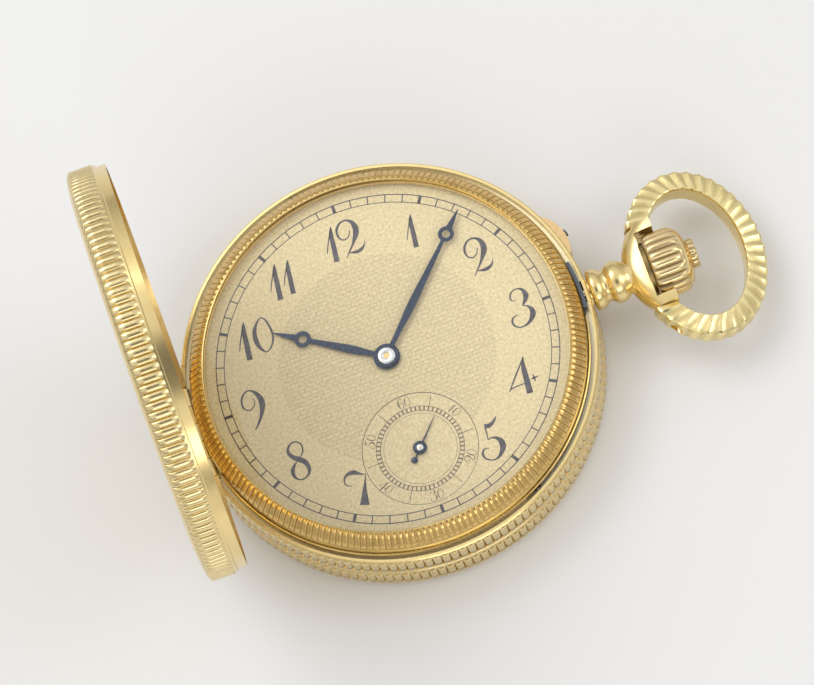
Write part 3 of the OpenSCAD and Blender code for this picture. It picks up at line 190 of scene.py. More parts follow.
def look_through_camera():
    """The photograph's own place and aim, found from the dial's circles and the opened cover."""
    photo_width, focal_in_pixels, sensor = 814, 6000, 36
    camera = placed("camera", bpy.data.cameras.new("camera"))
    camera.data.sensor_fit = "HORIZONTAL"
    camera.data.sensor_width = sensor
    camera.data.lens = sensor * focal_in_pixels / photo_width
    camera.data.clip_start = 0.05
    camera.data.clip_end = 20
    right = Vector((0.93566, -0.32139, -0.14576)).normalized()
    back = Vector((0.02484, -0.35202, 0.93566)).normalized()
    up = back.cross(right).normalized()
    right = up.cross(back)
    place = Matrix((right, up, back)).transposed().to_4x4()
    place.translation = Vector((0.020354, -0.248064, 0.671860))
    camera.matrix_world = place
    bpy.context.scene.camera = camera


def soft_lamp(name, at, size, watts, colour):
    """A rectangular lamp that looks at the watch."""
    lamp = placed(name, bpy.data.lights.new(name, "AREA"))
    lamp.data.shape = "RECTANGLE"
    lamp.data.size, lamp.data.size_y = size
    lamp.data.energy = watts
    lamp.data.color = colour
    lamp.location = Vector(at)
    watch = Vector((0, 0, 0.005))
    lamp.rotation_euler = (watch - lamp.location).to_track_quat("-Z", "Y").to_euler()


def studio():
    """A pale room, dimmer low down and where the camera stands, and three soft lamps."""
    scene = bpy.context.scene
    scene.view_settings.view_transform = "Standard"
    scene.world = bpy.data.worlds.new("studio")
    scene.world.use_nodes = True
    scene.world.node_tree.nodes.clear()
    w = Wires(scene.world.node_tree)
    way = w.add("ShaderNodeTexCoord").outputs["Generated"]
    towards_camera = (0.025, -0.352, 0.936)
    dimmed = w.between(w.vector("DOT_PRODUCT", way, towards_camera), 0.93, 0.985, 1.0, 0.22,
                       interpolation_type="SMOOTHSTEP")
    by_height = w.between(w.split(way)["Z"], -0.05, 0.65, 0.38, 0.95)
    strength = w.math("MULTIPLY", dimmed, by_height)
    room = w.add("ShaderNodeBackground", {"Color": (0.93, 0.94, 0.96, 1), "Strength": strength})
    # the camera sees a plain pale background; metal and glass see it too, shaded as the room is
    rays = w.add("ShaderNodeLightPath").outputs
    room_over_background = 1.09
    shaded = w.math("MULTIPLY", strength, room_over_background)
    background = w.mix("FLOAT", rays["Is Camera Ray"], shaded, 1.0)
    seen = w.add("ShaderNodeBackground", {"Color": (0.86, 0.86, 0.85, 1), "Strength": background})
    looks = rays["Is Camera Ray"]
    for ray in ("Is Glossy Ray", "Is Transmission Ray"):
        looks = w.math("MAXIMUM", looks, rays[ray])
    both = w.add("ShaderNodeMixShader", {0: looks, 1: room.outputs[0], 2: seen.outputs[0]})
    w.add("ShaderNodeOutputWorld", {"Surface": both.outputs[0]})
    soft_lamp("key", (-0.28, 0.34, 0.62), (0.50, 0.36), 1.35, (1.0, 0.99, 0.97))
    soft_lamp("fill", (0.50, -0.10, 0.42), (0.35, 0.35), 0.6, (0.97, 0.98, 1.0))
    soft_lamp("front", (0.05, -0.60, 0.30), (0.5, 0.2), 0.6, (1.0, 0.98, 0.96))


def table():
    mesh = bpy.data.meshes.new("table")
    half = 3.0
    corners = [(-half, -half, 0), (half, -half, 0), (half, half, 0), (-half, half, 0)]
    mesh.from_pydata(corners, [], [(0, 1, 2, 3)])
    mat, w, shader = fresh_material("table_paper", {"Roughness": 0.30, "Specular IOR Level": 0.45})
    tone = w.noise(w.where(), 3.0)
    w.feed(shader["Base Color"], w.tones(tone, (0.78, 0.77, 0.755), (0.84, 0.83, 0.815)))
    placed("table", mesh, mat)


# Finishes

def fresh_material(name, values):
    """A new material, its wires and its shader's inputs."""
    mat = bpy.data.materials.new(name)
    mat.use_nodes = True
    shader = shader_of(mat)
    for key, value in values.items():
        shader[key].default_value = value
    return mat, Wires(mat.node_tree), shader


def shader_of(mat):
    return mat.node_tree.nodes["Principled BSDF"].inputs


def handling_wear():
    """Small scratches and patches of tarnish: gives a colour, a roughness and a height."""
    group, w, given, out = node_group(
        "handling_wear", "ShaderNodeTree",
        (("Metal", COLOUR, (0.8, 0.6, 0.2, 1)), ("Tarnish", COLOUR, (0.4, 0.25, 0.08, 1)),
         ("Patches", NUMBER, 900.0), ("Amount", NUMBER, 0.35), ("Smooth", NUMBER, 0.12), ("Rough", NUMBER, 0.32)),
        (("Color", COLOUR), ("Roughness", NUMBER), ("Height", NUMBER)))
    where = w.where()
    patch = w.noise(where, given["Patches"], 6, 0.6)
    share = w.math("MULTIPLY", w.between(patch, 0.48, 0.75), given["Amount"])
    w.feed(out["Color"], w.mix("RGBA", share, given["Metal"], given["Tarnish"]))
    fine = w.noise(where, 4200, 4)
    blend = w.math("MULTIPLY_ADD", fine, 0.5, w.math("MULTIPLY", patch, 0.5))
    w.feed(out["Roughness"], w.between(blend, 0.25, 0.75, given["Smooth"], given["Rough"]))
    w.feed(out["Height"], fine)
    return group


def groove_dirt():
    """Painted shade in grooves: darkens and dulls a metal where the attribute groove is high."""
    group, w, given, out = node_group(
        "groove_dirt", "ShaderNodeTree",
        (("Color", COLOUR, (0.8, 0.6, 0.2, 1)), ("Roughness", NUMBER, 0.3), ("Dirt", COLOUR, (0.1, 0.07, 0.02, 1)),
         ("Strength", NUMBER, 0.85), ("Low", NUMBER, 0.10), ("High", NUMBER, 0.75)),
        (("Color", COLOUR), ("Roughness", NUMBER), ("Metallic", NUMBER)))
    depth = w.add("ShaderNodeAttribute", attribute_name="groove").outputs["Fac"]
    # painted shade, strongest where the groove is deepest
    share = w.between(depth, given["Low"], given["High"], 0.0, given["Strength"])
    w.feed(out["Color"], w.mix("RGBA", share, given["Color"], given["Dirt"]))
    painted_shade_roughness, painted_shade_metallic = 0.6, 0.1
    w.feed(out["Roughness"], w.mix("FLOAT", share, given["Roughness"], painted_shade_roughness))
    w.feed(out["Metallic"], w.mix("FLOAT", share, 1.0, painted_shade_metallic))
    return group


class Finisher:
    """Makes the metals, from the two shared effects: handling wear, and painted shade in grooves."""

    def __init__(self):
        self.wear = handling_wear()
        self.dirt = groove_dirt()

    def metal(self, name, tones, patches=900.0, amount=0.35, bump=0.04):
        base, tarnish, smooth, rough = tones
        mat, w, shader = fresh_material(name, {"Metallic": 1.0})
        worn = w.add("ShaderNodeGroup", {"Metal": (*base, 1), "Tarnish": (*tarnish, 1), "Patches": patches,
                                         "Amount": amount, "Smooth": smooth, "Rough": rough},
                     node_tree=self.wear).outputs
        w.feed(shader["Base Color"], worn["Color"])
        w.feed(shader["Roughness"], worn["Roughness"])
        w.feed(shader["Normal"], w.relief(worn["Height"], bump, 0.00005))
        return mat

    # painted shade: darkens and dulls the metal down in its grooves
    def grooved(self, mat, dirt, strength=0.85, low=0.10, high=0.75):
        w, shader = Wires(mat.node_tree), shader_of(mat)
        colour, rough = (shader[key].links[0].from_socket for key in ("Base Color", "Roughness"))
        groove_shaded = w.add("ShaderNodeGroup", {"Color": colour, "Roughness": rough, "Dirt": (*dirt, 1),
                                          "Strength": strength, "Low": low, "High": high},
                      node_tree=self.dirt).outputs
        w.feed(shader["Base Color"], groove_shaded["Color"])
        w.feed(shader["Roughness"], groove_shaded["Roughness"])
        w.feed(shader["Metallic"], groove_shaded["Metallic"])
        return mat


def reeded_wall(mat, dirt, pale):
    """Painted shade on a case's wall between the reeds, and painted light, a bright gold, down in the groove that
    takes the lip.
    """
    w, shader = Wires(mat.node_tree), shader_of(mat)
    place = w.split(w.where())
    radius = w.vector("LENGTH", w.flat(place))
    # the wall between the reeds is painted dark as shade; the groove that takes the lip is painted bright, as light
    # where its shade would fall
    wall, painted_light_lip_groove, soft = (24.52, 24.76, 1.0, 8.52), (23.5, 24.51, 7.5, 8.86), 0.01
    for (inner, outer, bottom, top), colour, rough in ((wall, dirt, 0.6), (painted_light_lip_groove, pale, 0.4)):
        mask = None
        for value, edge, side in ((radius, inner, 1), (radius, outer, -1), (place["Z"], bottom, 1),
                                  (place["Z"], top, -1)):
            step = w.between(value, (edge - soft * side) * MM, (edge + soft * side) * MM)
            mask = step if mask is None else w.math("MULTIPLY", mask, step)
        for key, kind, value in (("Base Color", "RGBA", (*colour, 1)), ("Roughness", "FLOAT", rough)):
            w.feed(shader[key], w.mix(kind, mask, shader[key].links[0].from_socket, value))
    return mat


def dial_material():
    """Matt gilt with a woven engine-turned centre inside a faint circle."""
    mat, w, shader = fresh_material("gilt_dial", {"Metallic": 0.12, "Roughness": 0.55})
    where = w.where()
    grain = w.noise(where, 3000, 5)
    weave = w.add("ShaderNodeTexBrick", {
        "Vector": where, "Scale": 1000, "Brick Width": 0.95, "Row Height": 0.50, "Mortar Size": 0.07,
        "Mortar Smooth": 0.8, "Color1": (1, 1, 1, 1), "Color2": (0.86, 0.86, 0.86, 1), "Mortar": (0.5, 0.5, 0.5, 1)})
    flat = w.flat(w.split(where))
    inside = w.between(w.vector("LENGTH", flat), 13.1 * MM, 12.9 * MM)
    off_seconds = w.between(w.vector("DISTANCE", flat, (0, SECONDS_Y * MM, 0)), 6.85 * MM, 6.95 * MM)
    shade = w.add("ShaderNodeRGBToBW", {0: weave.outputs["Color"]}).outputs[0]
    woven = w.mix("FLOAT", w.math("MULTIPLY", inside, off_seconds), 1.0, shade)
    gilt = w.tones(grain, (0.64, 0.51, 0.265), (0.82, 0.70, 0.445), 0.30, 0.68)
    w.feed(shader["Base Color"], w.mix("RGBA", 0.45, gilt, woven, blend_type="MULTIPLY"))
    w.feed(shader["Normal"], w.relief(w.math("MULTIPLY_ADD", grain, 0.4, woven), 0.22, 0.00006))
    return mat


def speckled(name, rough, dark, pale, scale, detail=2.0, low_at=0.0, high_at=1.0):
    """A plain finish that runs between two tones."""
    mat, w, shader = fresh_material(name, {"Roughness": rough})
    w.feed(shader["Base Color"], w.tones(w.noise(w.where(), scale, detail), dark, pale, low_at, high_at))
    return mat


def glass_material():
    """Clear glass that lets the lamps' light through to the dial without a shadow."""
    mat, w, _ = fresh_material("watch_glass", {"Base Color": (0.985, 0.99, 0.985, 1), "Roughness": 0.0,
                                               "IOR": 1.45, "Transmission Weight": 1.0})
    rays = w.add("ShaderNodeLightPath").outputs
    clear = w.add("ShaderNodeBsdfTransparent").outputs[0]
    solid = mat.node_tree.nodes["Principled BSDF"].outputs[0]
    lit = w.add("ShaderNodeMixShader", {0: rays["Is Shadow Ray"], 1: solid, 2: clear}).outputs[0]
    w.feed(mat.node_tree.nodes["Material Output"].inputs["Surface"], lit)
    return mat


def finish_solids(finish):
    by_slot = {s["node"]: s["material_slot"] for s in frame["record"]["subparts"]}
    for name, obj in nodes.items():
        obj.data.materials.clear()
        obj.data.materials.append(finish[by_slot[name]])


# Reeding

def reed_tree():
    """Bars round a circle: each is a closed rounded bar from Low to High, rounded off at both ends."""
    tree, w, given, out = node_group(
        "reeding", "GeometryNodeTree",
        (("Count", "NodeSocketInt", 146), ("Low", VECTOR, (0.025, 0.0, 0.0)), ("High", VECTOR, (0.025, 0.0, 0.001)),
         ("Width", NUMBER, 0.0007), ("Depth", NUMBER, 0.0006), ("Fullness", NUMBER, 0.6),
         ("Material", "NodeSocketMaterial", None)),
        (("Geometry", "NodeSocketGeometry"),))
    sheet = w.add("GeometryNodeMeshGrid", {"Size X": 2.0, "Size Y": 1.0, "Vertices X": 7, "Vertices Y": 6})
    grid = w.split(w.add("GeometryNodeInputPosition").outputs[0])
    # across the bar -1 to 1 and along it 0 to 1, both drawn together towards the edges
    across = w.math("SINE", w.math("MULTIPLY", grid["X"], math.pi / 2))
    swing = w.math("SINE", w.math("MULTIPLY", grid["Y"], math.pi))
    along = w.math("MULTIPLY_ADD", swing, 0.5, 0.5)
    dome = w.math("SUBTRACT", 1.0, w.math("MULTIPLY", across, across))
    round_arch = w.math("SQRT", w.math("MAXIMUM", dome, 0.0))
    arch = w.math("POWER", round_arch, given["Fullness"])
    end_sharpness, end_roundness = 14.0, 0.3
    blunt = w.math("SUBTRACT", 1.0, w.math("POWER", w.math("ABSOLUTE", swing), end_sharpness))
    ends = w.math("POWER", w.math("MAXIMUM", blunt, 0.0), end_roundness)
    rise = w.math("MULTIPLY", w.math("MULTIPLY", arch, ends), given["Depth"])
    run = w.vector("SUBTRACT", given["High"], given["Low"])
    outward = w.vector("NORMALIZE", w.vector("CROSS_PRODUCT", (0.0, 1.0, 0.0), run))
    # a bar that leans inwards gets narrower, so that its neighbours never cross it
    ratio = w.math("DIVIDE", w.split(given["High"])["X"], w.split(given["Low"])["X"])
    taper = w.math("MULTIPLY_ADD", w.math("SUBTRACT", ratio, 1.0), along, 1.0)
    side = w.math("MULTIPLY", w.math("MULTIPLY", across, taper), w.math("MULTIPLY", given["Width"], 0.5))
    sideways = w.add("ShaderNodeCombineXYZ", {"Y": side}).outputs[0]
    base = w.vector("ADD", w.vector("ADD", given["Low"], w.scaled(run, along)), sideways)
    crest = w.vector("ADD", base, w.scaled(outward, rise))
    top, under = (w.add("GeometryNodeSetPosition", {"Geometry": sheet.outputs["Mesh"], "Position": spot}).outputs[0]
                  for spot in (crest, base))
    # how deep in a groove each point lies, for the painted shade there
    depth = w.math("SUBTRACT", 1.0, w.math("MULTIPLY", round_arch, w.math("MULTIPLY_ADD", ends, 0.15, 0.85)))
    marked = w.add("GeometryNodeStoreNamedAttribute", {"Geometry": top, "Name": "groove", "Value": depth},
                   data_type="FLOAT", domain="POINT")
    flipped = w.add("GeometryNodeFlipFaces", {0: under})
    both = w.add("GeometryNodeJoinGeometry", {0: flipped.outputs[0]})
    w.feed(both.inputs[0], marked.outputs[0])
    closed = w.add("GeometryNodeMergeByDistance", {"Geometry": both.outputs[0], "Distance": 2e-7})
    points = w.add("GeometryNodePoints", {"Count": given["Count"]})
    share = w.math("DIVIDE", w.add("GeometryNodeInputIndex").outputs[0], given["Count"])
    turn = w.add("ShaderNodeCombineXYZ", {"Z": w.math("MULTIPLY", share, FULL_TURN)})
    copies = w.add("GeometryNodeInstanceOnPoints", {"Points": points.outputs[0], "Instance": closed.outputs[0],
                                                    "Rotation": turn.outputs[0]})
    real = w.add("GeometryNodeRealizeInstances", {0: copies.outputs[0]})
    painted = w.add("GeometryNodeSetMaterial", {"Geometry": real.outputs[0], "Material": given["Material"]})
    w.feed(out["Geometry"], painted.outputs[0])
    return tree


def baked(name, tree, values):
    """Runs a tree once and returns its result as a plain object."""
    host = placed(name + "_host", bpy.data.meshes.new(name + "_host"))
    rule = host.modifiers.new("rule", "NODES")
    rule.node_group = tree
    for item in tree.interface.items_tree:
        if item.item_type == "SOCKET" and item.in_out == "INPUT":
            rule[item.identifier] = values[item.name]
    mesh = evaluated_mesh(host)
    mesh.name = name
    bpy.data.objects.remove(host)
    return placed(name, mesh)


def evaluated_mesh(obj):
    graph = bpy.context.evaluated_depsgraph_get()
    graph.update()
    return bpy.data.meshes.new_from_object(obj.evaluated_get(graph))


def shade_smooth(obj, sharp):
    for face in obj.data.polygons:
        face.use_smooth = True
    obj.data.set_sharp_from_angle(angle=math.radians(sharp))


def reeds(tree, name, body, mat, count, low, high, width, depth, fullness, place=None):
    """A ring of bars between two (radius, height) points, in millimetres."""
    ends = [(r * MM, 0, z * MM) for r, z in (low, high)]
    obj = baked(name, tree, {"Count": count, "Low": ends[0], "High": ends[1], "Width": width * MM,
                             "Depth": depth * MM, "Fullness": fullness, "Material": mat})
    shade_smooth(obj, 70)
    if place is not None:
        obj.data.transform(place)
    rides(obj, body)


def opened_cover():
    """Where the closed front cover's shape goes when it stands open."""
    hinge = Vector(joint_at["front_cover_hinge"]["pos_m"])
    turn = Matrix.Rotation(math.radians(-COVER_OPEN), 4, "Y")
    return Matrix.Translation(hinge) @ turn @ Matrix.Translation(-hinge)


# Dressed pieces

def closed_piece(name, verts, faces, mat, body, grooves=None, sharp=40):
    """A piece from points in millimetres, its faces turned outwards; grooves marks each point's depth."""
    mesh = bpy.data.meshes.new(name)
    mesh.from_pydata([(x * MM, y * MM, z * MM) for x, y, z in verts], [], faces)
    form = bmesh.new()
    form.from_mesh(mesh)
    bmesh.ops.recalc_face_normals(form, faces=form.faces)
    form.to_mesh(mesh)
    form.free()
    if grooves is not None:
        mark = mesh.attributes.new("groove", "FLOAT", "POINT")
        for item, depth in zip(mark.data, grooves):
            item.value = depth
    obj = placed(name, mesh, mat)
    shade_smooth(obj, sharp)
    return rides(obj, body)


def turned(profile, steps=96):
    """Points and faces of a solid turned about X: rows of (x, radius, flute depth, flutes).

    A first or last row with no radius closes the solid with a point on the axis; otherwise the rows
    join up into a ring.
    """
    fluted = 0.05
    verts, faces, grooves, rows = [], [], [], []
    for x, r, depth, flutes in profile:
        if r == 0:
            rows.append([len(verts)] * steps)
            verts.append((x, 0, 0))
            grooves.append(0)
            continue
        rows.append(list(range(len(verts), len(verts) + steps)))
        for i in range(steps):
            a = 2 * math.pi * i / steps
            dip = 1 - abs(math.cos(flutes * a / 2)) ** 0.75 if depth else 0.0
            verts.append((x, (r - depth * dip) * math.cos(a), (r - depth * dip) * math.sin(a)))
            grooves.append(dip if depth > fluted else 0)
    pairs = list(zip(rows, rows[1:]))
    if profile[0][1] and profile[-1][1]:
        pairs.append((rows[-1], rows[0]))
    for low, high in pairs:
        for i in range(steps):
            j = (i + 1) % steps
            ring = [low[i], low[j], high[j], high[i]]
            faces.append([v for k, v in enumerate(ring) if v not in ring[:k]])
    return verts, faces, grooves


def plain(profile):
    """Rows for turned() without flutes, from (x, radius) points."""
    return [(x, r, 0, 1) for x, r in profile]


def on_pendant_axis(verts):
    return [(x, y, z + PENDANT_Z) for x, y, z in verts]


def block(low, high):
    """A box between two corners, as a cutter."""
    tool = bmesh.new()
    bmesh.ops.create_cube(tool, size=1)
    size = [(h - l) * MM for l, h in zip(low, high)]
    middle = [(h + l) / 2 * MM for l, h in zip(low, high)]
    tool.transform(Matrix.Translation(middle) @ Matrix.Diagonal((*size, 1)))
    return placed("cutter", mesh_from(tool, "cutter"))


def drill(radius, length, middle, turn):
    """A rod as a cutter, turned a quarter about the named axis from upright."""
    tool = bmesh.new()
    place = Matrix.Translation([v * MM for v in middle]) @ Matrix.Rotation(math.pi / 2, 4, turn)
    bmesh.ops.create_cone(tool, cap_ends=True, segments=48, radius1=radius * MM, radius2=radius * MM,
                          depth=length * MM, matrix=place)
    return placed("cutter", mesh_from(tool, "cutter"))


def mesh_from(form, name):
    mesh = bpy.data.meshes.new(name)
    form.to_mesh(mesh)
    form.free()
    return mesh


def cut_with(piece, operation, tool):
    """Applies one solid cut to a piece and throws the cutter away."""
    cut = piece.modifiers.new("cut", "BOOLEAN")
    cut.operation = operation
    cut.solver = "EXACT"
    cut.object = tool
    result = evaluated_mesh(piece)
    piece.modifiers.remove(cut)
    piece.data = result
    bpy.data.objects.remove(tool)


def crown(mat):
    """The winding crown with rounded flutes, hollow below where the pendant's end goes in."""
    base = BOW_X - 0.2
    flutes, button_flutes = 20, 14
    stem = [(31.2, 0, 0), (31.2, 0.43, 0), (23.98, 0.43, 0), (23.98, 0.62, 0)]
    body = [(0.85, 0.62, 0), (0.85, 3.4, 0), (0.1, 3.42, 0), (0, 3.5, 0), (-0.02, 3.66, 0.06), (0.06, 3.82, 0.18),
            (0.3, 3.96, 0.32), (0.8, 4.04, 0.42), (1.8, 4.06, 0.44), (2.7, 4.04, 0.42), (3.2, 3.97, 0.38),
            (3.5, 3.84, 0.28), (3.72, 3.66, 0.12), (3.86, 3.54, 0.0), (4.05, 3.42, 0), (4.4, 2.95, 0),
            (4.65, 2.15, 0), (4.72, 1.62, 0)]
    button = [(4.78, 1.66, 0.02), (4.84, 1.8, 0.14), (5.3, 1.82, 0.15), (5.5, 1.76, 0.1), (5.58, 1.6, 0.03),
              (5.62, 0.9, 0), (5.63, 0, 0)]
    rows = [(*row, flutes) for row in stem] + [(base + x, r, depth, flutes) for x, r, depth in body]
    rows += [(base + x, r, depth, button_flutes) for x, r, depth in button]
    verts, faces, grooves = turned(rows, 240)
    piece = closed_piece("fluted_crown", on_pendant_axis(verts), faces, mat, "crown", grooves, 50)
    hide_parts("crown")


def pendant_collar(mat):
    """The end of the pendant's tube, which stands inside the crown's hollow, in dark gold that is painted shade."""
    x = BOW_X - 0.9
    verts, faces, _ = turned(plain([(x, 0.72), (x, 3.34), (x + 0.52, 3.34), (x + 0.6, 3.26), (x + 0.6, 0.72)]))
    closed_piece("pendant_collar", on_pendant_axis(verts), faces, mat, "case")


def pendant(mat):
    """The turned neck and the rounded arms that hold the crown."""
    profile = [(24.6, 0.7), (24.6, 1.6), (25.12, 1.62), (25.2, 2.2), (25.35, 2.42), (25.8, 2.55), (26.3, 2.44),
               (26.62, 2.2), (26.8, 2.02), (27.15, 1.94), (27.4, 2.05), (27.65, 2.35), (28.1, 2.57), (28.7, 2.57),
               (29.25, 2.38), (29.6, 2.08), (30.1, 1.88), (30.8, 1.84), (31.6, 1.8), (32.1, 1.8), (32.1, 0.7)]
    verts, faces, _ = turned(plain(profile))
    neck = closed_piece("pendant_neck", on_pendant_axis(verts), faces, mat, "case")
    form = bmesh.new()
    bmesh.ops.create_uvsphere(form, u_segments=192, v_segments=96, radius=1)
    squareness = 7
    for point in form.verts:
        out = min(1.0, math.hypot(point.co.x, point.co.y))
        if abs(point.co.z) > 1e-6:
            point.co.z = math.copysign(math.sqrt(max(0.0, 1 - out ** squareness)), point.co.z)
    reach, stretch, half_height = 8.34, 0.9, 2.45
    form.transform(Matrix.Translation(((BOW_X - 2.7 + reach) * MM, 0, PENDANT_Z * MM))
                   @ Matrix.Diagonal(((reach + stretch) * MM, reach * MM, half_height * MM, 1)))
    arms = placed("crown_arms", mesh_from(form, "crown_arms"), mat)
    pocket_x, pocket_half, bow_end_y = BOW_X - 0.8, 4.2, 5.3
    cut_with(arms, "INTERSECT", block((BOW_X - 4, -bow_end_y, -6), (BOW_X + 1.5, bow_end_y, 20)))
    cut_with(arms, "DIFFERENCE", block((pocket_x, -pocket_half, -6), (pocket_x + 20, pocket_half, 20)))
    cut_with(arms, "DIFFERENCE", drill(0.7, 10, (BOW_X - 3, 0, PENDANT_Z), "Y"))
    cut_with(arms, "DIFFERENCE", drill(0.52, 30, (BOW_X, 0, PENDANT_Z), "X"))
    shade_smooth(arms, 35)
    rides(arms, "case")
    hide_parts("pendant")
    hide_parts("pendant")


def bow(mat):
    """Oval ring with fluted faces; its two ends stop at the arms that hold the crown."""
    half_w, thick, rx, ry = 1.32, 3.0, 8.25, 10.85
    centre = BOW_X + rx - 2.95
    stop = 5.36
    flutes, per_flute, flute_depth = 31, 8, 0.21
    droop = math.radians(14)
    # the section's outer half: (across, along the axis, share of the flutes' depth)
    side = [(-1.0, 0.34, 0.0), (-0.97, 0.42, 0.0), (-0.88, 0.485, 0.0), (-0.80, 0.50, 0.25), (-0.4, 0.50, 0.8),
            (0.0, 0.49, 1.0), (0.4, 0.465, 1.0), (0.72, 0.43, 1.0), (0.9, 0.385, 1.0), (0.98, 0.28, 0.8),
            (1.0, 0.1, 0.6)]
    section = side + [(u, -h, f) for u, h, f in reversed(side)]
    # equal steps along the oval, from its length summed in fine steps
    limit = math.pi - math.asin(stop / (ry - half_w))
    fine = 2000
    lengths = [0.0]
    for i in range(fine):
        a = limit * (1 - 2 * (i + 0.5) / fine)
        lengths.append(lengths[-1] + math.hypot((rx - half_w) * math.sin(a), (ry - half_w) * math.cos(a)))
    total = flutes * per_flute
    verts, faces, grooves, k = [], [], [], 0
    for i in range(total + 1):
        while k < fine and lengths[k] < lengths[-1] * i / total:
            k += 1
        dip = abs(2 * (i % per_flute) / per_flute - 1) ** 1.25
        for u, h, f in section:
            w = u * half_w
            end = math.pi - math.asin(stop / (ry - half_w + w))
            a = end * (1 - 2 * k / fine)
            nu, nh = max(u, 0) ** 2, h / 0.5
            size = math.hypot(nu, nh) or 1
            cut = flute_depth * f * dip
            w -= cut * nu / size
            z = h * thick - cut * nh / size
            x = centre + (rx - half_w + w) * math.cos(a) - BOW_X
            y = (ry - half_w + w) * math.sin(a)
            verts.append((BOW_X + x * math.cos(droop) + z * math.sin(droop), y,
                          PENDANT_Z - x * math.sin(droop) + z * math.cos(droop)))
            grooves.append(dip * f)
    faces = swept_faces(len(section), total)
    piece = closed_piece("fluted_bow", verts, faces, mat, "bow", grooves, 14)
    cut_with(piece, "DIFFERENCE", drill(0.54, 40, (BOW_X, 0, PENDANT_Z), "X"))
    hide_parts("bow")


def swept_faces(m, steps, whole=False):
    """Faces of a closed section of m points carried over some steps, with two ends unless it is a whole ring."""
    faces = []
    for i in range(steps):
        k = (i + 1) % steps if whole else i + 1
        for j in range(m):
            q = (j + 1) % m
            faces.append([m * i + j, m * i + q, m * k + q, m * k + j])
    if not whole:
        faces += [list(range(m)), list(range(m * steps, m * steps + m))]
    return faces


def wall_arc(name, section, a0, a1, mat, body, place=None, dirt=None):
    """A closed strip with the given section (radius, height), swept from one angle to another."""
    steps = 240
    whole = a1 - a0 >= 360
    verts = []
    for i in range(steps if whole else steps + 1):
        a = math.radians(a0 + (a1 - a0) * i / steps)
        verts += [(r * math.cos(a), r * math.sin(a), z) for r, z in section]
    grooves = dirt and [dirt[i % len(section)] for i in range(len(verts))]
    piece = closed_piece(name, verts, swept_faces(len(section), steps, whole), mat, body, grooves)
    if place is not None:
        piece.data.transform(place)


def case_trim(gold, reeded, bezel_painted_shade):
    """The smooth strips beside the reeding."""
    # fills the front cover's wall out to the grooves of its reeding; its lower and outer points carry painted shade
    # between the reeds
    outer, inner = COVER_R - 0.28, COVER_R - 0.28 - 0.34
    section = [(inner, COVER_SEAT + 0.62), (outer, COVER_SEAT + 0.62), (outer, COVER_TOP - 0.45),
               (outer - 0.2, COVER_TOP - 0.36), (inner, COVER_TOP - 0.3)]
    wall_arc("cover_band", section, 0, 360, reeded, "front_cover", opened_cover(), (1, 1, 0.9, 0, 0))
    # the smooth bead below the reeding of the back
    section = [(24.2, 0.62), (24.72, 0.78), (24.92, 0.98), (24.97, 1.18), (24.92, 1.36), (24.6, 1.46), (24.2, 1.46)]
    wall_arc("back_bead", section, 0, 360, gold, "back_cover")
    # the sloping ledge beside the bezel, broken at the hinge and at the catch, in the bezel's gold painted darker as
    # shade
    section = [(23.60, 8.69), (23.94, 8.69), (23.96, 8.74), (23.74, 8.86), (23.60, 8.89)]
    wall_arc("bezel_ledge_low", section, -164, -8, bezel_painted_shade, "case")
    wall_arc("bezel_ledge_high", section, 11.5, 164, bezel_painted_shade, "case")
    # the plain outside of the front cover's lip, past the window that its catch takes
    low, high = COVER_SEAT - 1.1, COVER_SEAT + 0.02
    section = [(24.33, low), (24.39, low), (24.39, high), (24.33, high)]
    wall_arc("lip_skin", section, -155, 155, gold, "front_cover", opened_cover())


def case_reeding(reeded, bezel_painted_shade):
    tree = reed_tree()
    width = BAND_R * FULL_TURN / REEDS
    r = BAND_R - 0.46
    reeds(tree, "case_reeding", "case", reeded, REEDS, (r, SEAT_Z + 0.35), (r, RIM_Z - 0.22), width, 0.5, 0.45)
    reeds(tree, "back_reeding", "back_cover", reeded, REEDS, (r, 1.2), (r, 4.32), width, 0.5, 0.45)
    r = COVER_R - 0.32
    reeds(tree, "front_reeding", "front_cover", reeded, REEDS, (r, COVER_SEAT + 0.1), (r, COVER_TOP - 0.42), width,
          0.47, 0.6, opened_cover())
    # the bezel's reeds, in the bezel's gold painted darker as shade
    width = BEZEL_FOOT_R * FULL_TURN / BEZEL_REEDS * 0.96
    reeds(tree, "bezel_reeding", "case", bezel_painted_shade, BEZEL_REEDS, (BEZEL_FOOT_R, BEZEL_FOOT_Z),
          (BEZEL_TOP_R, BEZEL_TOP_Z), width, 0.24, 0.45)


def hand_centres(silver, blued):
    """Bright caps where the hands turn, and the seconds hand's blued boss and tail."""
    def disc(name, body, x, y, profile, mat):
        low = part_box(body + "_hand")[1][2] / MM
        verts, faces, _ = turned(plain([(low + h, r) for h, r in profile]), 64)
        closed_piece(name, [(x + v, y + w, u) for u, v, w in verts], faces, mat, body)

    disc("minute_cap", "minute", 0, 0,
         [(-0.02, 0.3), (-0.02, 1.02), (0.05, 1.02), (0.09, 0.93), (0.09, 0.42), (0.02, 0.3)], silver)
    disc("seconds_boss", "seconds", 0, SECONDS_Y,
         [(-0.06, 0.3), (-0.06, 0.80), (0.02, 0.84), (0.06, 0.78), (0.06, 0.3)], blued)
    disc("seconds_cap", "seconds", 0, SECONDS_Y,
         [(-0.02, 0.07), (-0.02, 0.40), (0.09, 0.40), (0.12, 0.34), (0.12, 0.14), (0.05, 0.07)], silver)
    tail, reach = math.radians(90 - 6 * SECONDS_AT + 180), 1.65
    disc("seconds_tail", "seconds", reach * math.cos(tail), SECONDS_Y + reach * math.sin(tail),
         [(-0.08, 0), (-0.08, 0.40), (0.0, 0.40), (0.03, 0.32), (0.03, 0)], blued)


# Printed dial

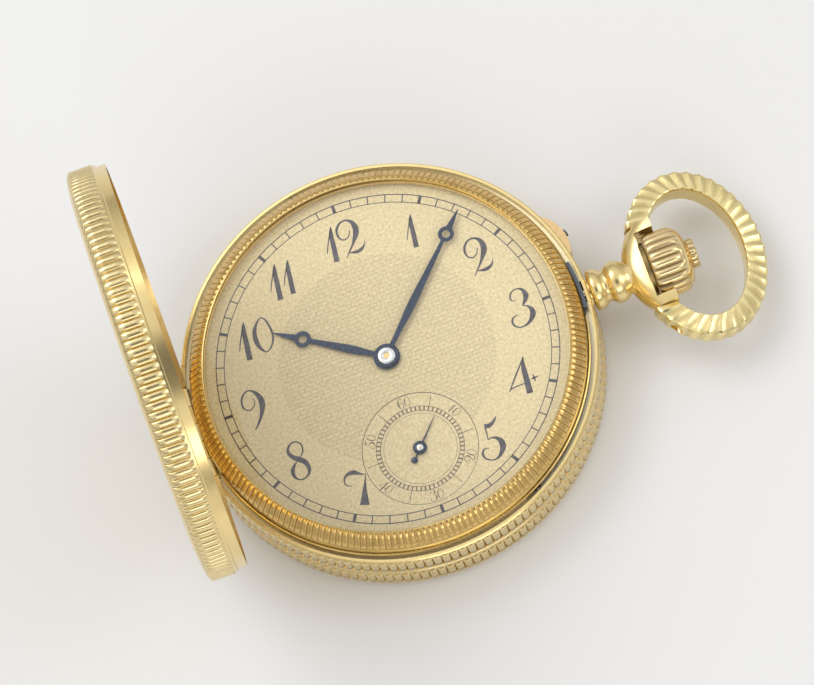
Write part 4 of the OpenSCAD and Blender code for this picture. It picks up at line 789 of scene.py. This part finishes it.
def stroke(points, samples=14):
    """Smooth ribbon through (x, y, width) points, as a list of left and right edge points."""
    pts = [Vector(p) for p in points]
    path = []
    for i in range(len(pts) - 1):
        p0 = pts[max(i - 1, 0)]
        p1, p2 = pts[i], pts[i + 1]
        p3 = pts[min(i + 2, len(pts) - 1)]
        for s in range(samples if i < len(pts) - 2 else samples + 1):
            t = s / samples
            path.append(0.5 * ((2 * p1) + (p2 - p0) * t + (2 * p0 - 5 * p1 + 4 * p2 - p3) * t * t
                               + (3 * p1 - p0 - 3 * p2 + p3) * t * t * t))
    left, right = [], []
    for i, p in enumerate(path):
        a, b = path[max(i - 1, 0)], path[min(i + 1, len(path) - 1)]
        along = Vector((b.x - a.x, b.y - a.y))
        if along.length < 1e-9:
            along = Vector((1, 0))
        along.normalize()
        side = Vector((-along.y, along.x)) * max(p.z, 0.02) / 2
        left.append((p.x + side.x, p.y + side.y))
        right.append((p.x - side.x, p.y - side.y))
    return left, right


# Each figure: strokes of (x, y, width) about the figure's own centre, in millimetres at the dial's size
FIGURES = {
    "1": [
        [(-1.03, -0.8, 0.09), (-0.62, 0.16, 0.14), (0.19, 1.78, 0.14)],
        [(0.36, 2.16, 0.07), (0.17, 1.49, 0.41), (0.04, 0.79, 0.5), (-0.07, -0.21, 0.56), (-0.21, -1.35, 0.58),
         (-0.3, -2.08, 0.62)],
    ],
    "2": [
        [(0.26, 1.21, 0.08), (0.15, 0.78, 0.12), (-0.17, 0.34, 0.15), (-0.68, 0.17, 0.16), (-1.13, 0.51, 0.2),
         (-1.28, 1.13, 0.27), (-1.13, 1.74, 0.3), (-0.66, 2.3, 0.26), (-0.1, 2.49, 0.22), (0.42, 2.37, 0.27),
         (0.86, 1.91, 0.49), (1.03, 1.17, 0.7), (0.9, 0.55, 0.7), (0.51, -0.11, 0.49), (0.05, -0.75, 0.27),
         (-0.48, -1.36, 0.19), (-1.19, -2.15, 0.08)],
        [(-0.64, -1.57, 0.08), (-0.21, -1.71, 0.27), (0.4, -1.79, 0.46), (1.02, -1.59, 0.33), (1.46, -1.1, 0.11),
         (1.6, -0.67, 0.05)],
    ],
    "3": [
        [(-0.46, 1.13, 0.08), (-0.83, 1.25, 0.12), (-0.99, 1.61, 0.19), (-0.79, 2.13, 0.19), (-0.28, 2.47, 0.16),
         (0.34, 2.44, 0.19), (0.76, 2.03, 0.41), (0.87, 1.31, 0.62), (0.57, 0.76, 0.46), (0.1, 0.3, 0.14)],
        [(0.09, 0.26, 0.11), (0.57, 0.04, 0.19), (0.91, -0.46, 0.49), (0.94, -1.01, 0.7), (0.66, -1.52, 0.6),
         (0.1, -2.01, 0.35), (-0.62, -2.23, 0.19), (-1.21, -2.12, 0.18), (-1.64, -1.72, 0.24), (-1.69, -1.14, 0.27),
         (-1.37, -0.74, 0.19), (-0.79, -0.67, 0.07)],
    ],
    "4": [
        [(0.83, 2.06, 0.11), (0.57, 1.42, 0.38), (0.39, 0.35, 0.62), (0.3, -0.81, 0.68), (0.19, -1.96, 0.73),
         (0.12, -2.53, 0.76)],
        [(0.77, 1.93, 0.14), (-0.12, 0.87, 0.19), (-1.06, -0.25, 0.19), (-2.09, -1.52, 0.12)],
        [(-1.86, -1.27, 0.19), (-1.24, -1.18, 0.15), (0.02, -1.16, 0.14)],
        [(0.81, -0.92, 0.11), (1.23, -0.91, 0.22), (1.77, -0.89, 0.08)],
        [(1.2, -0.41, 0.07), (1.2, -0.9, 0.2), (1.25, -1.43, 0.07)],
    ],
    "5": [
        [(-0.47, 1.71, 0.57), (0.11, 1.63, 0.54), (0.69, 1.87, 0.38), (1.24, 2.42, 0.08)],
        [(-0.43, 1.44, 0.16), (-0.48, 0.64, 0.16), (-0.58, -0.01, 0.12)],
        [(-0.56, -0.01, 0.11), (-0.11, 0.08, 0.19), (0.43, -0.14, 0.38), (0.8, -0.68, 0.65), (0.82, -1.3, 0.73),
         (0.51, -1.88, 0.57), (0.02, -2.37, 0.33), (-0.61, -2.57, 0.18), (-1.18, -2.4, 0.16), (-1.61, -2.01, 0.22),
         (-1.74, -1.42, 0.27), (-1.48, -0.98, 0.19), (-1.09, -0.91, 0.12), (-0.8, -1.03, 0.07)],
    ],
    "7": [
        [(-0.38, 0.69, 0.08), (-0.79, 0.81, 0.12), (-1.06, 1.17, 0.16), (-1.01, 1.63, 0.19), (-0.7, 2.05, 0.3),
         (-0.17, 2.22, 0.46), (0.36, 2.13, 0.54), (0.82, 1.84, 0.35), (1.25, 1.54, 0.14), (1.56, 1.47, 0.05)],
        [(1.63, 1.62, 0.07), (1.38, 0.94, 0.16), (1.07, 0.17, 0.33), (0.78, -0.61, 0.6), (0.52, -1.4, 0.87),
         (0.27, -2.11, 1.17)],
    ],
    "8": [
        [(0.26, 0.23, 0.11), (0.66, 0.66, 0.16), (0.9, 1.09, 0.19), (0.92, 1.8, 0.18), (0.46, 2.31, 0.18),
         (-0.16, 2.34, 0.22), (-0.69, 1.88, 0.3), (-0.8, 1.32, 0.41), (-0.46, 0.62, 0.54), (0.14, 0.11, 0.65),
         (0.7, -0.48, 0.6), (0.89, -1.3, 0.46), (0.62, -2.01, 0.3), (-0.08, -2.36, 0.19), (-0.72, -2.19, 0.19),
         (-1.07, -1.63, 0.35), (-1.04, -0.97, 0.49), (-0.69, -0.44, 0.35), (-0.29, -0.11, 0.14), (0.25, 0.19, 0.08)],
    ],
    "9": [
        [(0.47, 1.43, 0.08), (0.56, 0.97, 0.11), (0.34, 0.46, 0.12), (-0.15, 0.15, 0.15), (-0.55, 0.19, 0.16),
         (-0.92, 0.67, 0.2), (-0.92, 1.42, 0.24), (-0.57, 2.1, 0.23), (-0.05, 2.47, 0.19), (0.47, 2.44, 0.19),
         (0.99, 1.93, 0.41), (1.33, 1.11, 0.65), (1.32, 0.34, 0.73), (1.06, -0.43, 0.54), (0.57, -1.28, 0.35),
         (0.08, -1.9, 0.24), (-0.44, -2.44, 0.12)],
    ],
    "0": [
        [(0.36, 2.17, 0.14), (-0.27, 1.68, 0.27), (-0.84, 0.74, 0.49), (-1, -0.42, 0.57), (-0.81, -1.44, 0.38),
         (-0.27, -2.15, 0.16), (0.44, -1.78, 0.19), (0.99, -0.84, 0.24), (1.11, 0.3, 0.27), (0.89, 1.51, 0.22),
         (0.62, 2.02, 0.15), (0.34, 2.18, 0.14)],
    ],
    "6": [
        [(0.82, 1.46, 0.21), (0.39, 2.06, 0.21), (-0.3, 1.98, 0.26), (-0.86, 1.07, 0.52), (-1.03, -0.34, 0.73),
         (-0.73, -1.63, 0.52), (-0.04, -2.15, 0.21), (0.73, -1.81, 0.34), (0.99, -0.95, 0.43), (0.56, -0.09, 0.26),
         (-0.22, 0, 0.17), (-0.82, -0.6, 0.13)],
    ],
}

# Which figure stands where on the dial, and how large: (figure, x, y, size)
HOUR_FIGURES = [
    ("1", 8.02, 13.85, 1), ("2", 14.17, 7.85, 1), ("3", 16.98, -0.13, 1), ("4", 14.18, -7.92, 1),
    ("5", 8.37, -14.06, 1), ("7", -8.65, -14.13, 1), ("8", -13.95, -8.18, 1), ("9", -17.06, -0.25, 1),
    ("1", -15.03, 8.17, 1.13), ("0", -12.92, 8.2, 1), ("1", -9.22, 13.83, 1.08), ("1", -7.57, 13.87, 1.02),
    ("1", -1.41, 15.8, 1.06), ("2", 0.67, 15.71, 1),
]


class Print:
    """Flat printed shapes at one height, collected into one mesh."""

    def __init__(self, z, cx=0, cy=0):
        self.z, self.cx, self.cy = z, cx, cy
        self.verts, self.faces = [], []

    def strip(self, left, right):
        start = len(self.verts)
        for a, b in zip(left, right):
            self.verts += [(a[0] * MM, a[1] * MM, self.z * MM), (b[0] * MM, b[1] * MM, self.z * MM)]
        for i in range(len(left) - 1):
            k = start + 2 * i
            self.faces.append([k, k + 1, k + 3, k + 2])

    def ring(self, *radii, steps=240):
        around = [math.radians(360 * i / steps) for i in range(steps + 1)]
        self.strip(*([(self.cx + r * math.cos(a), self.cy + r * math.sin(a)) for a in around] for r in radii))

    def tick(self, angle, r0, r1, width):
        a = math.radians(angle)
        out, side = Vector((math.cos(a), math.sin(a))), Vector((-math.sin(a), math.cos(a))) * width / 2
        p, q = (Vector((self.cx, self.cy)) + out * r for r in (r0, r1))
        start = len(self.verts)
        self.verts += [(*(v * MM), self.z * MM) for v in (p + side, p - side, q - side, q + side)]
        self.faces.append(list(range(start, start + 4)))

    def figure(self, char, x, y, size, turn=0.0, weight=1.0):
        """Draws one figure about a point of the dial, its top towards turn degrees from +Y."""
        ca, sa = math.cos(math.radians(turn)) * size, math.sin(math.radians(turn)) * size
        for points in FIGURES[char]:
            edges = stroke([(px, py, w * weight) for px, py, w in points])
            self.strip(*([(x + a * ca - b * sa, y + a * sa + b * ca) for a, b in edge] for edge in edges))

    def number(self, text, x, y, size, turn, weight):
        step, one_shift = 2.7 * size, 0.35 * size
        for i, char in enumerate(text):
            along = (i - (len(text) - 1) / 2) * step + (one_shift if char == "1" else 0)
            self.figure(char, x + along * math.cos(math.radians(turn)), y + along * math.sin(math.radians(turn)),
                        size, turn, weight)

    def printed(self, name, mat):
        mesh = bpy.data.meshes.new(name)
        mesh.from_pydata(self.verts, [], self.faces)
        obj = placed(name, mesh, mat)
        for poly in mesh.polygons:
            if poly.normal.z < 0:
                poly.flip()
        mesh.update()
        rides(obj, "case")


def dial_print(ink, faded):
    above = 0.012
    hours = Print(DIAL_Z + above)
    hours.ring(20.42, 20.54)
    hours.ring(19.46, 19.56)
    for i in range(60):
        hours.tick(90 - 6 * i, 19.5, 20.5, 0.38 if i % 5 == 0 else 0.14)
    for figure in HOUR_FIGURES:
        hours.figure(*figure)
    seconds = Print(SECONDS_FLOOR_Z + above, cy=SECONDS_Y)
    for radii in ((6.86, 6.94), (5.20, 5.27), (4.67, 4.74), (4.32, 4.36)):
        seconds.ring(*radii)
    for i in range(60):
        seconds.tick(90 - 6 * i, 4.7, 5.23, 0.16)
    for second in range(5, 60, 10):
        seconds.tick(90 - 6 * second, 5.3, 6.6, 0.08)
    number_r, number_size = 6.08, 0.29
    for second in (60, 10, 20, 30, 40, 50):
        a = 90 - 6 * second
        upright = second in (60, 10, 50)
        seconds.number(str(second), number_r * math.cos(math.radians(a)),
                       SECONDS_Y + number_r * math.sin(math.radians(a)), number_size,
                       turn=a - 90 if upright else a + 90, weight=0.85)
    hours.printed("dial_figures", ink)
    seconds.printed("seconds_figures", faded)


def main():
    look_through_camera()
    studio()
    table()
    made = Finisher()
    gold = made.metal("yellow_gold", YELLOW_GOLD, patches=260, amount=0.24)
    blued = made.metal("blued_steel", BLUED_STEEL)
    finish_solids({
        "gold": gold,
        "rose_gold": made.metal("rose_gold", ROSE_GOLD),
        "crystal": glass_material(),
        "steel": made.metal("bright_steel", BRIGHT_STEEL),
        "blued": blued,
        "plate": made.metal("frosted_gilt", FROSTED_GILT, bump=0.3),
        "brass": made.metal("brushed_brass", BRUSHED_BRASS),
        "ruby": speckled("ruby", 0.08, (0.35, 0.008, 0.05), (0.60, 0.03, 0.12), 2000),
        "dial": dial_material(),
    })
    dial_print(speckled("dial_ink", 0.45, (0.035, 0.030, 0.045), (0.11, 0.09, 0.11), 1500, 4, 0.35, 0.75),
               speckled("faded_ink", 0.45, (0.10, 0.075, 0.06), (0.20, 0.155, 0.12), 1500, 4, 0.35, 0.75))
    # painted shade: a dark brown that darkens and dulls the reeds' grooves
    reeded = made.grooved(made.metal("reeded_gold", REEDED_GOLD), (0.10, 0.065, 0.018), 0.95, 0.12, 0.62)
    bezel_painted_shade = made.grooved(made.metal("bezel_painted_shade_gold", BEZEL_PAINTED_SHADE_GOLD, amount=0.6), (0.12, 0.07, 0.018), 0.95, 0.12, 0.62)
    case_reeding(reeded, bezel_painted_shade)
    case_trim(gold, reeded, bezel_painted_shade)
    # painted shade darkens the crown's flutes
    crown(made.grooved(made.metal("crown_gold", CROWN_GOLD), (0.22, 0.14, 0.05), 0.75))
    # the collar's dark gold is painted shade
    pendant_collar(made.metal("shaded_gold", SHADED_GOLD))
    pendant(gold)
    # painted shade darkens the bow's flutes
    bow(made.grooved(made.metal("bow_gold", BOW_GOLD), (0.42, 0.31, 0.11), 0.5))
    hand_centres(made.metal("polished_steel", POLISHED_STEEL), blued)
    # the case's gold, with painted shade between its reeds and painted light in the lip's groove
    case_gold = reeded_wall(made.metal("case_gold", YELLOW_GOLD, patches=260, amount=0.24), (0.12, 0.08, 0.02),
                            (0.98, 0.88, 0.62))
    # the setting pin's dark steel is painted shade, for the dark hole the pin sits in
    dark_steel = made.metal("catch_steel", CATCH_STEEL)
    for name, mat in (("case_middle", case_gold), ("back_cover", case_gold), ("lock_spring", dark_steel),
                      ("setting_pin", dark_steel), ("olivette", made.metal("push_gold", PUSH_GOLD))):
        nodes[name].data.materials[0] = mat


main()
